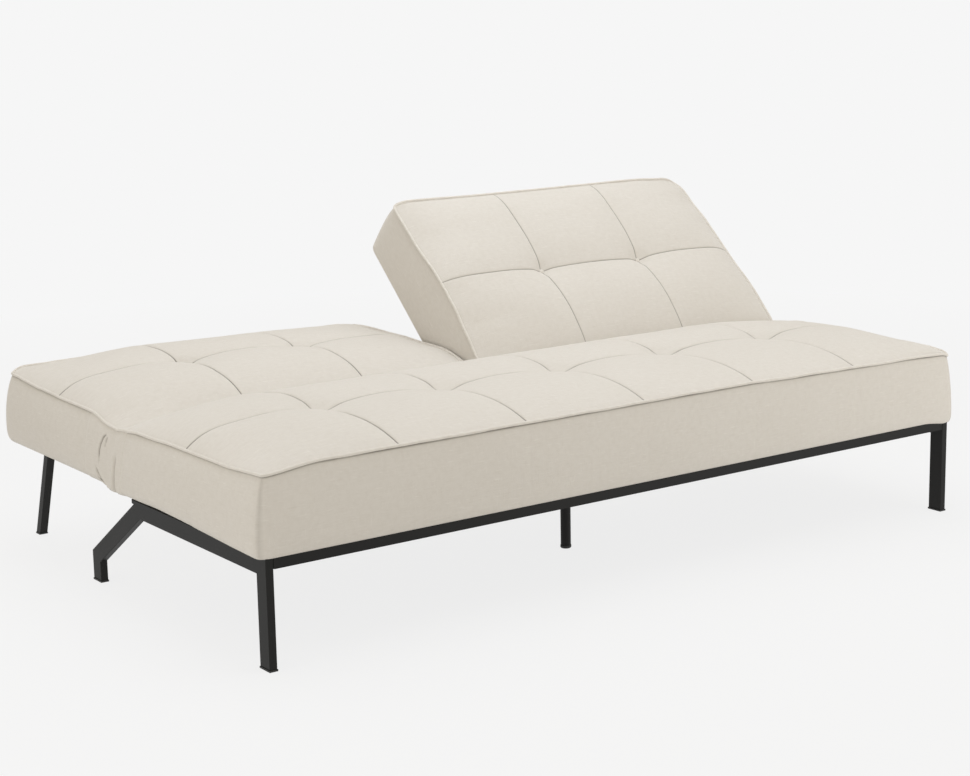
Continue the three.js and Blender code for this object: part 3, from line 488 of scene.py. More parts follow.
class Pad:
    """A box cushion's cover: a tufted top on a grid, bands round it and a flat base.

    Its side is -1 or 1 for the left or right back, and 0 for the seat. Its tone is how strong its
    seams are, and its soft corner the one that sags.
    """

    def __init__(self, name, top, bottom, band, radii, hinge_side, side=0, tone=1.0, soft_corner=None):
        self.name, self.top, self.bottom, self.band, self.radii = name, top, bottom, band, radii
        self.hinge_side, self.side, self.tone, self.soft_corner = hinge_side, side, tone, soft_corner
        self.x_lines = lines_between(top.xs, BESIDE_SEAM if side > 0 else BESIDE_LOW_COLUMN)
        self.y_lines = lines_between(top.ys, BESIDE_SEAM if side > 0 else BESIDE_LOW_ROW)
        self.x_span = (self.x_lines[0], self.x_lines[-1])
        self.y_span = (self.y_lines[0], self.y_lines[-1])

    def hinge_y(self):
        return self.y_span[0] if self.hinge_side == "front" else self.y_span[1]

    def corner(self, x, y):
        """The centre of the rounding that a place of the plan belongs to, and its radius."""
        right = x > sum(self.x_span) / 2
        rear = y > sum(self.y_span) / 2
        radius = self.radii[2 * rear + right]
        cx = clamp(x, self.x_span[0] + radius, self.x_span[1] - radius)
        cy = clamp(y, self.y_span[0] + radius, self.y_span[1] - radius)
        return cx, cy, radius

    def rounded(self, x, y):
        cx, cy, radius = self.corner(x, y)
        off = Vector((x - cx, y - cy, 0))
        if off.length <= radius:
            return x, y
        off.normalize()
        return cx + off.x * radius, cy + off.y * radius

    def outward(self, at):
        cx, cy, _ = self.corner(at.x, at.y)
        off = Vector((at.x - cx, at.y - cy, 0))
        return off.normalized() if off.length else off

    def bulge(self, way):
        """How far the band stands out, more at the bed's ends than along it."""
        across = INNER_BULGE if self.side and way.x * self.side < 0 else END_BULGE
        free = BACK_BULGE if self.side else LONG_BULGE
        along = 0 if way.y * (1 if self.hinge_side == "rear" else -1) > 0 else free
        return Vector((way.x * across, way.y * along, 0))

    def grid(self, bm, home):
        """The top's grid, whose corners also keep where they were made."""
        nx, ny = len(self.x_lines), len(self.y_lines)
        made = bmesh.ops.create_grid(bm, x_segments=nx - 1, y_segments=ny - 1, size=0.5)
        for v in made["verts"]:
            i = round((v.co.x + 0.5) * (nx - 1))
            j = round((v.co.y + 0.5) * (ny - 1))
            x, y = self.rounded(self.x_lines[i], self.y_lines[j])
            v.co = v[home] = Vector((x, y, self.top.height(self.x_lines[i], self.y_lines[j])))

    def ring_place(self, at, outset, share):
        """Where a place on the piping comes to lie on a ring of the band below it."""
        z = lerp(self.bottom, at.z, share)
        way = self.outward(at)
        place = Vector((at.x, at.y, z)) + self.bulge(way) * outset
        if self.side:
            swell = SWELL_FACTOR * clamp(share) ** 2 * (1 - clamp(share))
            place.y += max(0, way.y) * REAR_SWELL * swell
        place.z -= CORNER_SAG * self.low_corner(at) * smooth(1 - share / SAG_SHARE)
        if not self.side and outset > 0:
            place.z += abs(way.x) * end_lift(share, at.y)
        uneven = noise.noise(at * BAND_WAVES) * BAND_UNEVEN * (1 - abs(2 * clamp(share) - 1))
        place += way * max(0, uneven * smooth((abs(at.y - self.hinge_y()) - EVEN_REACH) / EVEN_FADE))
        place.x -= math.copysign(self.cheek(at), at.x) * smooth((1 - share) * ROOM_RATE)
        if self.side:
            reach = math.sqrt(max(0, NOSE ** 2 - (z - HINGE_Z) ** 2))
            pull = smooth((NOSE_FADE - at.y) / (NOSE_FADE - BACK_FRONT))
            place.y += (HINGE_Y - reach - BACK_FRONT) * pull
        else:
            reach = math.sqrt(max(0, (NOSE + NOSE_CLEARANCE) ** 2 - (z - HINGE_Z) ** 2))
            place.y = min(place.y, HINGE_Y - reach)
        return place

    def drawn_in(self, at, step):
        """A place on the base's edge moved in, evenly toward the middle of the pad."""
        x, y = (
            lerp(low, high, 0.5) + (place - lerp(low, high, 0.5)) * (1 - step / ((high - low) / 2))
            for place, (low, high) in ((at.x, self.x_span), (at.y, self.y_span))
        )
        return Vector((x, y, self.bottom))

    def low_corner(self, at):
        """How near a place is to the cushion corner whose foot sags over the rail."""
        if self.soft_corner is None:
            return 0
        return smooth(1 - math.hypot(at.x - self.soft_corner[0], at.y - self.soft_corner[1]) / SAG_REACH)

    def cheek(self, at):
        """How far an end band stands back to leave room for the pleat in the cover."""
        if abs(at.x) < END_ZONE:
            return 0
        inside = min(at.y - PLEAT_FROM, PLEAT_TO - at.y) - PLEAT_TUCK
        return PLEAT_ROOM * smooth(inside / ROOM_FADE)

    def by_pleat(self, at):
        return abs(at[0]) > END_ZONE and PLEAT_FROM - PLEAT_TUCK < at[1] < PLEAT_TO + PLEAT_TUCK

    def build(self):
        bm = bmesh.new()
        seam = bm.verts.layers.float.new("seam")
        home = bm.verts.layers.float_vector.new("home")
        self.grid(bm, home)
        for v in bm.verts:
            v[seam] = self.seam_share(v[home])
        ring = [e for e in bm.edges if e.is_boundary]
        self.top_count = len(bm.verts)
        self.top_ring = [v.index for v in self.ordered(ring)]
        for outset, share in self.band:
            ring, corners = next_ring(bm, ring)
            for v in corners:
                v[seam] = self.band_seam(v[home], share)
                v.co = self.ring_place(Vector(v[home]), outset, share)
        for step in BASE_STEPS:
            ring, corners = next_ring(bm, ring)
            for v in corners:
                v[seam] = 0
                v.co = self.drawn_in(v.co, step)
        base = bmesh.ops.contextual_create(bm, geom=ring)["faces"]
        bmesh.ops.triangulate(bm, faces=base)
        bmesh.ops.recalc_face_normals(bm, faces=bm.faces)
        return object_of(bm, self.name)

    def ordered(self, ring):
        """The corners of a closed ring of edges, in order."""
        edge = ring[0]
        start = corner = edge.verts[0]
        inside = set(ring)
        found = []
        while True:
            found.append(corner)
            corner = edge.other_vert(corner)
            if corner is start:
                return found
            edge = next(e for e in corner.link_edges if e in inside and e is not edge)

    def to_edge(self, at):
        spans = zip(at, (self.x_span, self.y_span))
        return min(min(place - low, high - place) for place, (low, high) in spans)

    def to_tuft(self, at):
        return min(math.hypot(at[0] - x, at[1] - y) for x, y, z in self.top.tufts())

    def seam_share(self, at):
        """1 on the top's seams, 0 beside, less where a wide tuft flattens them; also their painted shade.
        """
        on_column = min(abs(at[0] - x) for x in self.top.xs[1:-1]) < ON_SEAM
        on_row = abs(at[1] - self.top.ys[1]) < ON_SEAM
        if not (on_column or on_row):
            return 0.0
        radius = self.top.pit[0]
        at_tuft = 1 if radius < WIDE_TUFT else WIDE_TUFT_SEAM
        return self.tone * lerp(at_tuft, 1.0, smooth(self.to_tuft(at) / radius))

    def corner_painted_shade(self, at):
        """Painted shade on the upright seam at a cushion's free corner."""
        free = abs(at[1] - self.hinge_y()) > CORNER_FROM_HINGE
        turn = self.outward(Vector(at))
        return CORNER_SEAM_SHADE if free and abs(abs(turn.x) - abs(turn.y)) < CORNER_WIDTH else 0.0

    def band_seam(self, at, share):
        """Painted shade on the stitched line under the piping, most along the front; lower, the corner's.
        """
        if share < SHADE_LINE_SHARE:
            return self.corner_painted_shade(at)
        strength = lerp(SHADE_LINE_SIDE, 1.0, clamp(-self.outward(Vector(at)).y))
        return strength * (1 if share > PIPED_SHARE else UNDER_PIPING)


def sewn_corners(piece, pad):
    """The corners of a cover that stay where they are while it is filled."""
    seams = piece.data.attributes["seam"].data
    homes = piece.data.attributes["home"].data
    ring = set(pad.top_ring)
    held = []
    for v in piece.data.vertices:
        home = homes[v.index].vector
        sewn = seams[v.index].value > SEWN_SHARE or v.index in ring
        by_tuft = v.index < pad.top_count and pad.to_tuft(home) < TUFT_HOLD
        low = v.co.z < pad.bottom + BASE_HOLD
        by_hinge = abs(home[1] - pad.hinge_y()) < HINGE_HOLD or pad.by_pleat(home)
        if sewn or by_tuft or low or by_hinge:
            held.append(v.index)
    return held


def puff(piece, held):
    """Blows the cover up a little as its filling does: held corners stay, and none moves past the cap."""
    mesh = piece.data
    start = [v.co.copy() for v in mesh.vertices]
    group = piece.vertex_groups.new(name="sewn")
    group.add(held, 1.0, "REPLACE")
    cloth = piece.modifiers.new("Filling", "CLOTH")
    cover = cloth.settings
    cover.quality = 4
    cover.mass = 0.006
    cover.air_damping = 1.5
    cover.tension_stiffness = 18
    cover.compression_stiffness = 18
    cover.shear_stiffness = 6
    cover.bending_stiffness = 0.4
    cover.vertex_group_mass = "sewn"
    cover.use_pressure = True
    cover.uniform_pressure_force = FILL_PRESSURE
    cover.shrink_min = -FILL_SLACK
    cover.effector_weights.gravity = 0
    cloth.collision_settings.use_collision = False
    cloth.point_cache.frame_end = FILL_FRAMES
    for step in range(1, FILL_FRAMES + 1):
        bpy.context.scene.frame_set(step)
    filled = piece.evaluated_get(bpy.context.evaluated_depsgraph_get())
    places = [v.co.copy() for v in filled.to_mesh().vertices]
    filled.to_mesh_clear()
    piece.modifiers.remove(cloth)
    bpy.context.scene.frame_set(1)
    moves = evened(mesh, [after - before for before, after in zip(start, places)], set(held))
    for v, before, move in zip(mesh.vertices, start, moves):
        v.co = before + move * min(1, FILL_CAP / max(move.length, 1e-9))
    piece.vertex_groups.remove(group)


def evened(mesh, moves, held, rounds=4):
    """Evens the moves of neighbouring corners, so that the grid's close lines don't show."""
    beside = [[] for _ in moves]
    for edge in mesh.edges:
        a, b = edge.vertices
        beside[a].append(b)
        beside[b].append(a)
    for _ in range(rounds):
        moves = [
            move if k in held else (move + sum((moves[n] for n in near), Vector())) / (len(near) + 1)
            for k, (move, near) in enumerate(zip(moves, beside))
        ]
    return moves


def weave_map(piece):
    """A map in metres for the cloth's threads, cut face by face as its panels are."""
    mesh = piece.data
    layer = mesh.uv_layers.new(name="threads")
    for face in mesh.polygons:
        n = face.normal
        main = max(range(3), key=lambda k: abs(n[k]))
        a, b = [(1, 2), (0, 2), (0, 1)][main]
        for loop in face.loop_indices:
            co = mesh.vertices[mesh.loops[loop].vertex_index].co
            layer.data[loop].uv = (co[a], co[b])


def raise_half(piece):
    """Turns a right half's piece about the hinge line to where it stands."""
    place = Vector((0, HINGE_Y, HINGE_Z))
    turn = Matrix.Translation(place) @ Matrix.Rotation(RAISED, 4, "X") @ Matrix.Translation(-place)
    piece.data.transform(turn)


def finish_mesh(piece, levels=0):
    """Shades a piece smooth, and rounds it with as many levels of a subdivision surface."""
    for face in piece.data.polygons:
        face.use_smooth = True
    if levels:
        surface = piece.modifiers.new("Surface", "SUBSURF")
        surface.levels = surface.render_levels = levels


def cut_seams(piece, pad):
    """Draws the cover in along its seams."""
    share = piece.data.attributes["seam"].data
    homes = piece.data.attributes["home"].data
    for v in piece.data.vertices[: pad.top_count]:
        v.co.z -= SEAM_DEPTH * share[v.index].value * smooth(pad.to_edge(homes[v.index].vector) / SEAM_FADE)


def piping_run(piece, pad):
    """The piping's line: the top's ring but for the hinge side, with the hand-sewn run's wander."""
    ring = [piece.data.vertices[i].co.copy() for i in pad.top_ring]
    homes = [Vector(piece.data.attributes["home"].data[i].vector) for i in pad.top_ring]
    free = [abs(home.y - pad.hinge_y()) > HINGE_CORNER for home in homes]
    count = len(ring)
    first = next(k for k in range(count) if free[k] and not free[k - 1])
    run = []
    for k in range(count):
        at = (first + k) % count
        if not free[at]:
            break
        place = ring[at] + pad.outward(homes[at]) * PIPING * PIPING_OUT
        wander = sum(noise.noise(place * waves) * size for waves, size in PIPING_WANDER)
        place.z += PIPING * PIPING_UP + wander
        run.append(place)
    return run


def tube_along(name, run, radius):
    """A closed tube along a smooth line near the places of a run."""
    curve = bpy.data.curves.new(name, "CURVE")
    curve.dimensions = "3D"
    curve.bevel_depth = radius
    curve.bevel_resolution = 3
    curve.use_fill_caps = True
    spline = curve.splines.new("NURBS")
    spline.points.add(len(run) - 1)
    for point, place in zip(spline.points, run):
        point.co = (*place, 1)
    spline.use_endpoint_u = True
    spline.order_u = 4
    spline.resolution_u = 1
    maker = linked(name + "_line", curve)
    bpy.context.view_layer.update()
    mesh = bpy.data.meshes.new_from_object(maker.evaluated_get(bpy.context.evaluated_depsgraph_get()))
    bpy.data.objects.remove(maker)
    return linked(name, mesh)


def cushion(pad, body, node, material, piping_material, raised=False):
    """A cushion's cover and its piping, and a back's tuft knots, in the place of its solid."""
    if pad.side:
        tuft_knots(pad, body, piping_material, raised)
    piece = pad.build()
    puff(piece, sewn_corners(piece, pad))
    cut_seams(piece, pad)
    weave_map(piece)
    piping = tube_along(pad.name.replace("cushion", "piping"), piping_run(piece, pad), PIPING)
    for made, look, levels in ((piece, material, 1), (piping, piping_material, 0)):
        if raised:
            raise_half(made)
        finish_mesh(made, levels)
        made.data.materials.append(look)
        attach(made, body)
    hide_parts(node)


def tuft_knots(pad, body, material, raised):
    """The small gathered knot at the middle of each tuft of a back half."""
    for number, (x, y, z) in enumerate(pad.top.tufts(), 1):
        bm = bmesh.new()
        bmesh.ops.create_icosphere(bm, subdivisions=4, radius=1)
        for v in bm.verts:
            turn = math.atan2(v.co.y, v.co.x)
            wide = WIDE_GATHER_DEPTH * math.sin(turn * WIDE_GATHERS + 1) * math.hypot(v.co.x, v.co.y)
            gather = 1 + wide + FINE_GATHER_DEPTH * math.sin(turn * FINE_GATHERS)
            v.co = Vector((v.co.x * gather, v.co.y * gather, v.co.z * KNOT_HEIGHT)) * KNOT
        bmesh.ops.translate(bm, verts=bm.verts, vec=(x, y, z - pad.top.pit[1] + KNOT_RISE))
        piece = object_of(bm, f"tuft_knot_{body}_{number}")
        if raised:
            raise_half(piece)
        finish_mesh(piece)
        piece.data.materials.append(material)
        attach(piece, body)


def from_line(points, y, z):
    """How far a place is from a bent line, and how far along the line its nearest point is."""
    best = None
    for k, (a, b) in enumerate(zip(points, points[1:])):
        run = Vector(b) - Vector(a)
        along = clamp((Vector((y, z)) - Vector(a)).dot(run) / run.length_squared)
        away = (Vector(a) + run * along - Vector((y, z))).length
        if best is None or away < best[0]:
            best = away, (k + along) / (len(points) - 1)
    return best


def rough(y, z, waves, seed):
    """Noise at a place of the pleat, from about -1 to 1."""
    return noise.noise(Vector((y * waves[0], z * waves[1], seed)))


def fold_strength(points, narrow, along, y, z):
    """How strong a fold is at a place: it fades at its ends, and a narrow one is broken up."""
    grown = 1 if points[0][1] < HEM_FOLD else smooth(along * FOLD_GROWS)
    strength = smooth((1 - along) * FOLD_FADES) * grown
    if narrow:
        strength *= clamp(UNBROKEN + rough(y, z, *BREAKS))
    return strength


def pleat_folds(y, z):
    """How far the folds draw the pleat in at a place, and the shade painted in them there."""
    drawn, shade = 0.0, 0.0
    fray = sum(rough(y, z, waves, seed) * size for waves, seed, size in FRAY)
    for points, width, depth, dark in PLEAT_FOLDS:
        narrow = width < NARROW_FOLD
        away, along = from_line(points, y + fray * narrow, z)
        strength = fold_strength(points, narrow, along, y, z)
        dip = math.exp(-((away / width) ** 2)) * strength
        lip = math.exp(-(((away - LIP_AWAY * width) / (LIP_WIDTH * width)) ** 2)) * strength
        drawn += depth * (dip - LIP_SHARE * lip)
        shade = max(shade, dark * math.exp(-((away / width * SHADE_NARROWER) ** 2)) * strength)
    return drawn, shade


def band_stand(band, bottom, top, z):
    """How far an end band stands out at a height."""
    share = (z - bottom) / (top - bottom)
    rings = [(0.0, 1.0)] + band
    for (a, high), (b, low) in zip(rings, rings[1:]):
        if share >= low:
            return END_BULGE * lerp(a, b, clamp((high - share) / (high - low)))
    return END_BULGE * rings[-1][0]


def passed(y, span):
    """How far a place is past a stretch of the pleat, from 0 before it to 1 behind it."""
    start, run = span
    return smooth((y - start) / run)


def pleat_place(y, rise, side, seat_line, back_line):
    """Where a place of the pleat lies with the half flat, and its painted shade. Rise is 0 at the hem."""
    top = lerp(through(seat_line, y), through(back_line, y), passed(y, TOP_PASS)) - PLEAT_UNDER_PIPING
    z = lerp(through(PLEAT_HEM, y), top, max(0, rise - HEM_SHARE) / (1 - HEM_SHARE))
    lift = end_lift((z - SEAT_BOTTOM) / (through(seat_line, y) - SEAT_BOTTOM), y)
    seat = band_stand(SEAT_BAND, SEAT_BOTTOM, through(seat_line, y), z - lift)
    back = band_stand(BACK_BAND, BACK_BOTTOM, through(back_line, y), z)
    to_side = min(y - PLEAT_FROM, PLEAT_TO - y)
    stand = lerp(seat, back, passed(y, BODY_PASS))
    stand += lerp(PLEAT_SUNK, PLEAT_PROUD, smooth(to_side / PLEAT_TUCK))
    drawn, shade = pleat_folds(y, z)
    rumple = rough(y, z, *RUMPLES) * RUMPLE
    inside = smooth(to_side / FOLD_SIDE_FADE) * smooth((top - z) / FOLD_TOP_FADE)
    stand += (rumple - drawn) * inside - HEM_TURN * max(0, 1 - rise / HEM_SHARE)
    return Vector((side * (HALF + PLEAT_OFF + stand), y, z)), shade


def pleat(name, side, material, seat_line, back_line, turned):
    """The cover's loose fold over the hinge, on the outer end of the bed."""
    bm = bmesh.new()
    seam = bm.verts.layers.float.new("seam")
    made = bmesh.ops.create_grid(bm, x_segments=PLEAT_GRID[0], y_segments=PLEAT_GRID[1], size=0.5)
    for v in made["verts"]:
        y = lerp(PLEAT_FROM, PLEAT_TO, v.co.x + 0.5)
        v.co, shade = pleat_place(y, v.co.y + 0.5, side, seat_line, back_line)
        v[seam] = shade * (TURNED_SHADE if turned else 1)
        if turned:
            lean = smooth((y - FOLD_START) / (FOLD_END - FOLD_START)) * RAISED
            off = Vector((0, v.co.y - HINGE_Y, v.co.z - HINGE_Z))
            off.rotate(Matrix.Rotation(lean, 3, "X"))
            v.co = Vector((v.co.x, HINGE_Y + off.y, HINGE_Z + off.z))
    bmesh.ops.recalc_face_normals(bm, faces=bm.faces)
    if sum(f.normal.x for f in bm.faces) * side < 0:
        bmesh.ops.reverse_faces(bm, faces=bm.faces)
    area = sum(f.calc_area() for f in bm.faces)
    piece = object_of(bm, name)
    weave_map(piece)
    finish_mesh(piece)
    thick = piece.modifiers.new("Cloth thickness", "SOLIDIFY")
    thick.thickness = PLEAT_THICKNESS
    thick.offset = -1
    piece.data.materials.append(material)
    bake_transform(piece)
    area / PLEAT_HEIGHT


class Value:
    """A shader value whose sums and products add Math nodes."""

    def __init__(self, look, socket):
        self.look, self.socket = look, socket

    def math(self, operation, *others, clamped=False):
        sockets = {k: o.socket if isinstance(o, Value) else o for k, o in enumerate((self, *others))}
        node = self.look.node("ShaderNodeMath", {"operation": operation, "use_clamp": clamped}, sockets)
        return Value(self.look, node.outputs[0])

    def __add__(self, other):
        return self.math("ADD", other)

    __radd__ = __add__

    def __mul__(self, other):
        return self.math("MULTIPLY", other)

    __rmul__ = __mul__

    def __sub__(self, other):
        return self.math("SUBTRACT", other)

    def __rsub__(self, other):
        return (self * -1) + other

    def __pow__(self, other):
        return self.math("POWER", other)

    def sine(self):
        return self.math("SINE")

    def size(self):
        return self.math("ABSOLUTE")

    def kept(self):
        """The value kept between 0 and 1."""
        return self.math("ADD", 0.0, clamped=True)

    def above(self, level, gain):
        """How far the value is above a level, times a gain, between 0 and 1."""
        return ((self - level) * gain).kept()

    def below(self, level, gain):
        return ((level - self) * gain).kept()


class Nodes:
    """A material's or the world's nodes, emptied to be built anew."""

    def __init__(self, owner):
        owner.use_nodes = True
        self.tree = owner.node_tree
        self.tree.nodes.clear()

    def node(self, kind, settings=None, sockets=None):
        node = self.tree.nodes.new(kind)
        for key, value in (settings or {}).items():
            setattr(node, key, value)
        for key, value in (sockets or {}).items():
            self.feed(node.inputs[key], value)
        return node

    def feed(self, socket, value):
        """Links a socket, or sets it where the value is plain."""
        value = value.socket if isinstance(value, Value) else value
        if isinstance(value, bpy.types.NodeSocket):
            self.tree.links.new(value, socket)
        else:
            socket.default_value = value


class Look(Nodes):
    """A material built of nodes round one Principled shader."""

    def __init__(self, name):
        self.material = bpy.data.materials.new(name)
        super().__init__(self.material)
        self.shader = self.node("ShaderNodeBsdfPrincipled")
        self.output = self.node("ShaderNodeOutputMaterial", None, {"Surface": self.shader.outputs[0]})

    def set(self, **values):
        """Sets or links the shader's own sockets by name, with _ for a space."""
        for key, value in values.items():
            self.feed(self.shader.inputs[key.replace("_", " ")], value)

    def coordinates(self, mapped):
        kind = "UV" if mapped else "Object"
        return self.node("ShaderNodeTexCoord").outputs[kind]

    def stretched(self, vector, scale):
        return self.node("ShaderNodeMapping", None, {"Vector": vector, "Scale": scale}).outputs[0]

    def grain(self, vector, scale, detail=2.0, roughness=0.5):
        sockets = {"Vector": vector, "Scale": scale, "Detail": detail, "Roughness": roughness}
        return Value(self, self.node("ShaderNodeTexNoise", None, sockets).outputs["Fac"])

    def mix(self, share, one, other):
        node = self.node("ShaderNodeMix", {"data_type": "RGBA"}, {0: share, 6: one, 7: other})
        return node.outputs[2]

    def part(self, vector, axis):
        return Value(self, self.node("ShaderNodeSeparateXYZ", None, {0: vector}).outputs[axis])

    def crossed(self, x, y, waves):
        """Two sets of waves that cross: a weave, a grid of dots or ribs."""
        return (x * waves).sine() * (y * waves).sine()

    def bump(self, height, distance, strength=1.0):
        sockets = {"Height": height, "Distance": distance, "Strength": strength}
        return self.node("ShaderNodeBump", None, sockets).outputs[0]

    def attribute(self, name):
        node = self.node("ShaderNodeAttribute", {"attribute_name": name})
        return Value(self, node.outputs["Fac"])


def rgb(red, green, blue):
    return (red, green, blue, 1)


# The cloth's thread pitch, the waves along and across its slubs, and its colours
THREAD_PITCH = 0.0011
SLUB_ALONG, SLUB_ACROSS = 34, 260
LINEN = rgb(0.708, 0.674, 0.622)
LINEN_PALE = rgb(0.83, 0.80, 0.755)
LINEN_DARK = rgb(0.57, 0.525, 0.460)
# The piping's and knots' linen, paler than the cover's: a painted highlight on their ridges
LINEN_PIPING_PAINTED_HIGHLIGHT = rgb(0.76, 0.725, 0.670)
# Painted shade mixed into the cloth at seams, under the piping, at corner seams and in the pleat's folds
SEAM_SHADE = rgb(0.13, 0.115, 0.095)

# Dark and pale colours of the other finishes, the lining's dots and the webbing's ribs
POWDER_COAT = rgb(0.0065, 0.0064, 0.0058), rgb(0.0105, 0.0102, 0.0094)
ZINC = rgb(0.50, 0.50, 0.49), rgb(0.66, 0.66, 0.64)
PLASTIC = rgb(0.010, 0.010, 0.010), rgb(0.020, 0.020, 0.019)
LINING = rgb(0.014, 0.014, 0.015), rgb(0.040, 0.040, 0.042)
WEBBING = rgb(0.70, 0.66, 0.58), rgb(0.80, 0.77, 0.70)
DOT_PITCH = 0.0016
RIB_WAVES = 1900

# The white that floor and world show the camera, the floor's size and colour, and how much of its
# light that white hides by the bed, how much more far away, and how fast and from where it grows
SHOWN_WHITE = rgb(0.922, 0.922, 0.922)
FLOOR_SIZE = 60
FLOOR = rgb(0.84, 0.84, 0.84)
HIDDEN_NEAR, HIDDEN_MORE = 0.89, 0.11
FAR_RATE, FAR_START = 0.4, 0.5

# The world's fill, and the lamps: place, target, size, power in watts and tint
FILL, FILL_STRENGTH = rgb(1, 0.935, 0.825), 0.62
COOL, PLAIN = (0.875, 0.924, 1.0), (0.97, 0.985, 1.0)
LAMPS = {
    "overhead_rear": ((0.2, 1.1, 3.3), (0, 0, 0.3), 3.0, 41, COOL),
    "overhead_front": ((0.1, -1.1, 3.3), (0, -0.3, 0.3), 2.6, 29.5, COOL),
    "left_fill": ((-3.0, -0.75, 0.5), (-0.99, -0.4, 0.3), 1.2, 9, PLAIN),
    "right_fill": ((1.7, -2.4, 0.5), (0.9, -0.67, 0.32), 1.0, 9.5, PLAIN),
}

# The camera: its place, its yaw, pitch and roll in degrees, and its lens and sensor in millimetres
CAMERA_PLACE = (-2.9419, -4.2242, 1.4241)
CAMERA_ANGLES = (35.15, 11.82, -1.09)
CAMERA_LENS = 77.45
SENSOR_WIDTH = 36
FAR_CLIP = 100


def linen(name, mapped, tone=LINEN):
    """Plain woven linen blend, with slubs along both its threads."""
    look = Look(name)
    at = look.coordinates(mapped)
    warp, weft = look.part(at, 0), look.part(at, 1)
    weave = look.crossed(warp, weft, math.pi / THREAD_PITCH).size() ** 0.5
    across = look.grain(look.stretched(at, (SLUB_ALONG, SLUB_ACROSS, SLUB_ACROSS)), 1, 3)
    down = look.grain(look.stretched(at, (SLUB_ACROSS, SLUB_ALONG, SLUB_ALONG)), 1, 3)
    slub = across.above(0.59, 7) + down.above(0.62, 7) * 0.7
    shade = across.below(0.42, 6) * 0.7 + down.below(0.39, 6) * 0.5
    mottle = look.grain(at, 75, 4, 0.6)
    cloud = look.grain(at, 5, 3)
    colour = look.mix((slub * 0.38).kept(), tone, LINEN_PALE)
    colour = look.mix((shade * 0.34).kept(), colour, LINEN_DARK)
    colour = look.mix(mottle.above(0.40, 0.60), colour, LINEN_DARK)
    colour = look.mix(cloud.above(0.35, 0.18), colour, LINEN_DARK)
    if mapped:
        # Painted shade in the seams, under the piping and in the pleat's folds, as the cover's attribute
        # gives it
        colour = look.mix(look.attribute("seam").kept(), colour, SEAM_SHADE)
    height = weave * 0.35 + slub * 0.8 + across * 0.5 + down * 0.5
    look.set(Base_Color=colour, Roughness=(0.86 + weave * 0.08).kept(), Specular_IOR_Level=0.25)
    look.set(Sheen_Weight=0.35, Sheen_Roughness=0.5, Normal=look.bump(height, 0.0004, 0.7))
    return look.material


def powder_coat():
    look = Look("powder_coated_steel")
    at = look.coordinates(False)
    peel = look.grain(at, 900, 2)
    cloud = look.grain(at, 9, 3)
    look.set(Base_Color=look.mix(cloud, *POWDER_COAT), Roughness=(0.40 + peel * 0.12 + cloud * 0.06).kept())
    look.set(Specular_IOR_Level=0.24, Normal=look.bump(peel, 0.00012, 0.5))
    return look.material


def plated_steel():
    look = Look("zinc_plated_steel")
    at = look.coordinates(False)
    drawn = look.grain(look.stretched(at, (40, 900, 900)), 1, 2)
    spangle = look.grain(at, 60, 3)
    look.set(Base_Color=look.mix(spangle, *ZINC), Roughness=(0.26 + drawn * 0.16 + spangle * 0.1).kept())
    look.set(Metallic=0.95, Normal=look.bump(drawn, 0.00005, 0.5))
    return look.material


def moulded_plastic():
    look = Look("black_moulded_plastic")
    at = look.coordinates(False)
    pits = look.grain(at, 1400, 2)
    wear = look.grain(at, 30, 3)
    look.set(Base_Color=look.mix(wear, *PLASTIC), Roughness=(0.46 + pits * 0.18).kept())
    look.set(Normal=look.bump(pits, 0.0001, 0.4))
    return look.material


def spunbond():
    """The black lining under the pads, pressed with a fine grid of dots."""
    look = Look("black_spunbond_lining")
    at = look.coordinates(False)
    dots = look.crossed(look.part(at, 0), look.part(at, 1), math.pi / DOT_PITCH)
    fibres = look.grain(at, 700, 3)
    look.set(Base_Color=look.mix(fibres, *LINING), Roughness=(0.8 + fibres * 0.15).kept())
    look.set(Normal=look.bump(dots.size() * 0.6 + fibres, 0.0002, 0.6))
    return look.material


def elastic():
    """The backs' webbing, with fine ribs."""
    look = Look("elastic_webbing")
    at = look.coordinates(False)
    ribs = look.crossed(look.part(at, 0), look.part(at, 1), RIB_WAVES).size()
    stripe = look.grain(look.stretched(at, (90, 90, 90)), 1, 2)
    look.set(Base_Color=look.mix(stripe, *WEBBING), Roughness=(0.8 + ribs * 0.1).kept())
    look.set(Normal=look.bump(ribs, 0.0003, 0.6))
    return look.material


def dress_nodes():
    """Gives each node that stays its finish."""
    finishes = {
        "frame_steel": powder_coat(),
        "plated_steel": plated_steel(),
        "black_plastic": moulded_plastic(),
        "black_lining": spunbond(),
        "strap": elastic(),
        "linen": linen("linen_lining", False),
    }
    slots = {s["node"]: s["material_slot"] for s in frame["record"]["subparts"]}
    for name, node in frame["nodes"].items():
        material = finishes[slots[name]]
        if node.material_slots:
            for slot in node.material_slots:
                slot.material = material
        else:
            node.data.materials.append(material)


def stage():
    """A pale floor that shows white to the camera but for the bed's soft shadow."""
    bpy.ops.mesh.primitive_plane_add(size=FLOOR_SIZE, location=(0, 0, 0))
    floor = bpy.context.object
    floor.name = "floor"
    look = Look("pale_floor")
    look.set(Base_Color=FLOOR, Roughness=0.9, Specular_IOR_Level=0.1)
    path = look.node("ShaderNodeLightPath")
    glow = look.node("ShaderNodeEmission", None, {"Color": SHOWN_WHITE, "Strength": 1.0})
    shown = Value(look, path.outputs["Is Camera Ray"]) + Value(look, path.outputs["Is Glossy Ray"])
    away = look.node("ShaderNodeVectorMath", {"operation": "LENGTH"}, {0: look.coordinates(False)})
    far = (Value(look, away.outputs["Value"]) * FAR_RATE - FAR_START).kept()
    share = shown.kept() * (far * HIDDEN_MORE + HIDDEN_NEAR)
    seen = {0: share, 1: look.shader.outputs[0], 2: glow.outputs[0]}
    mixed = look.node("ShaderNodeMixShader", None, seen)
    look.feed(look.output.inputs["Surface"], mixed.outputs[0])
    floor.data.materials.append(look.material)


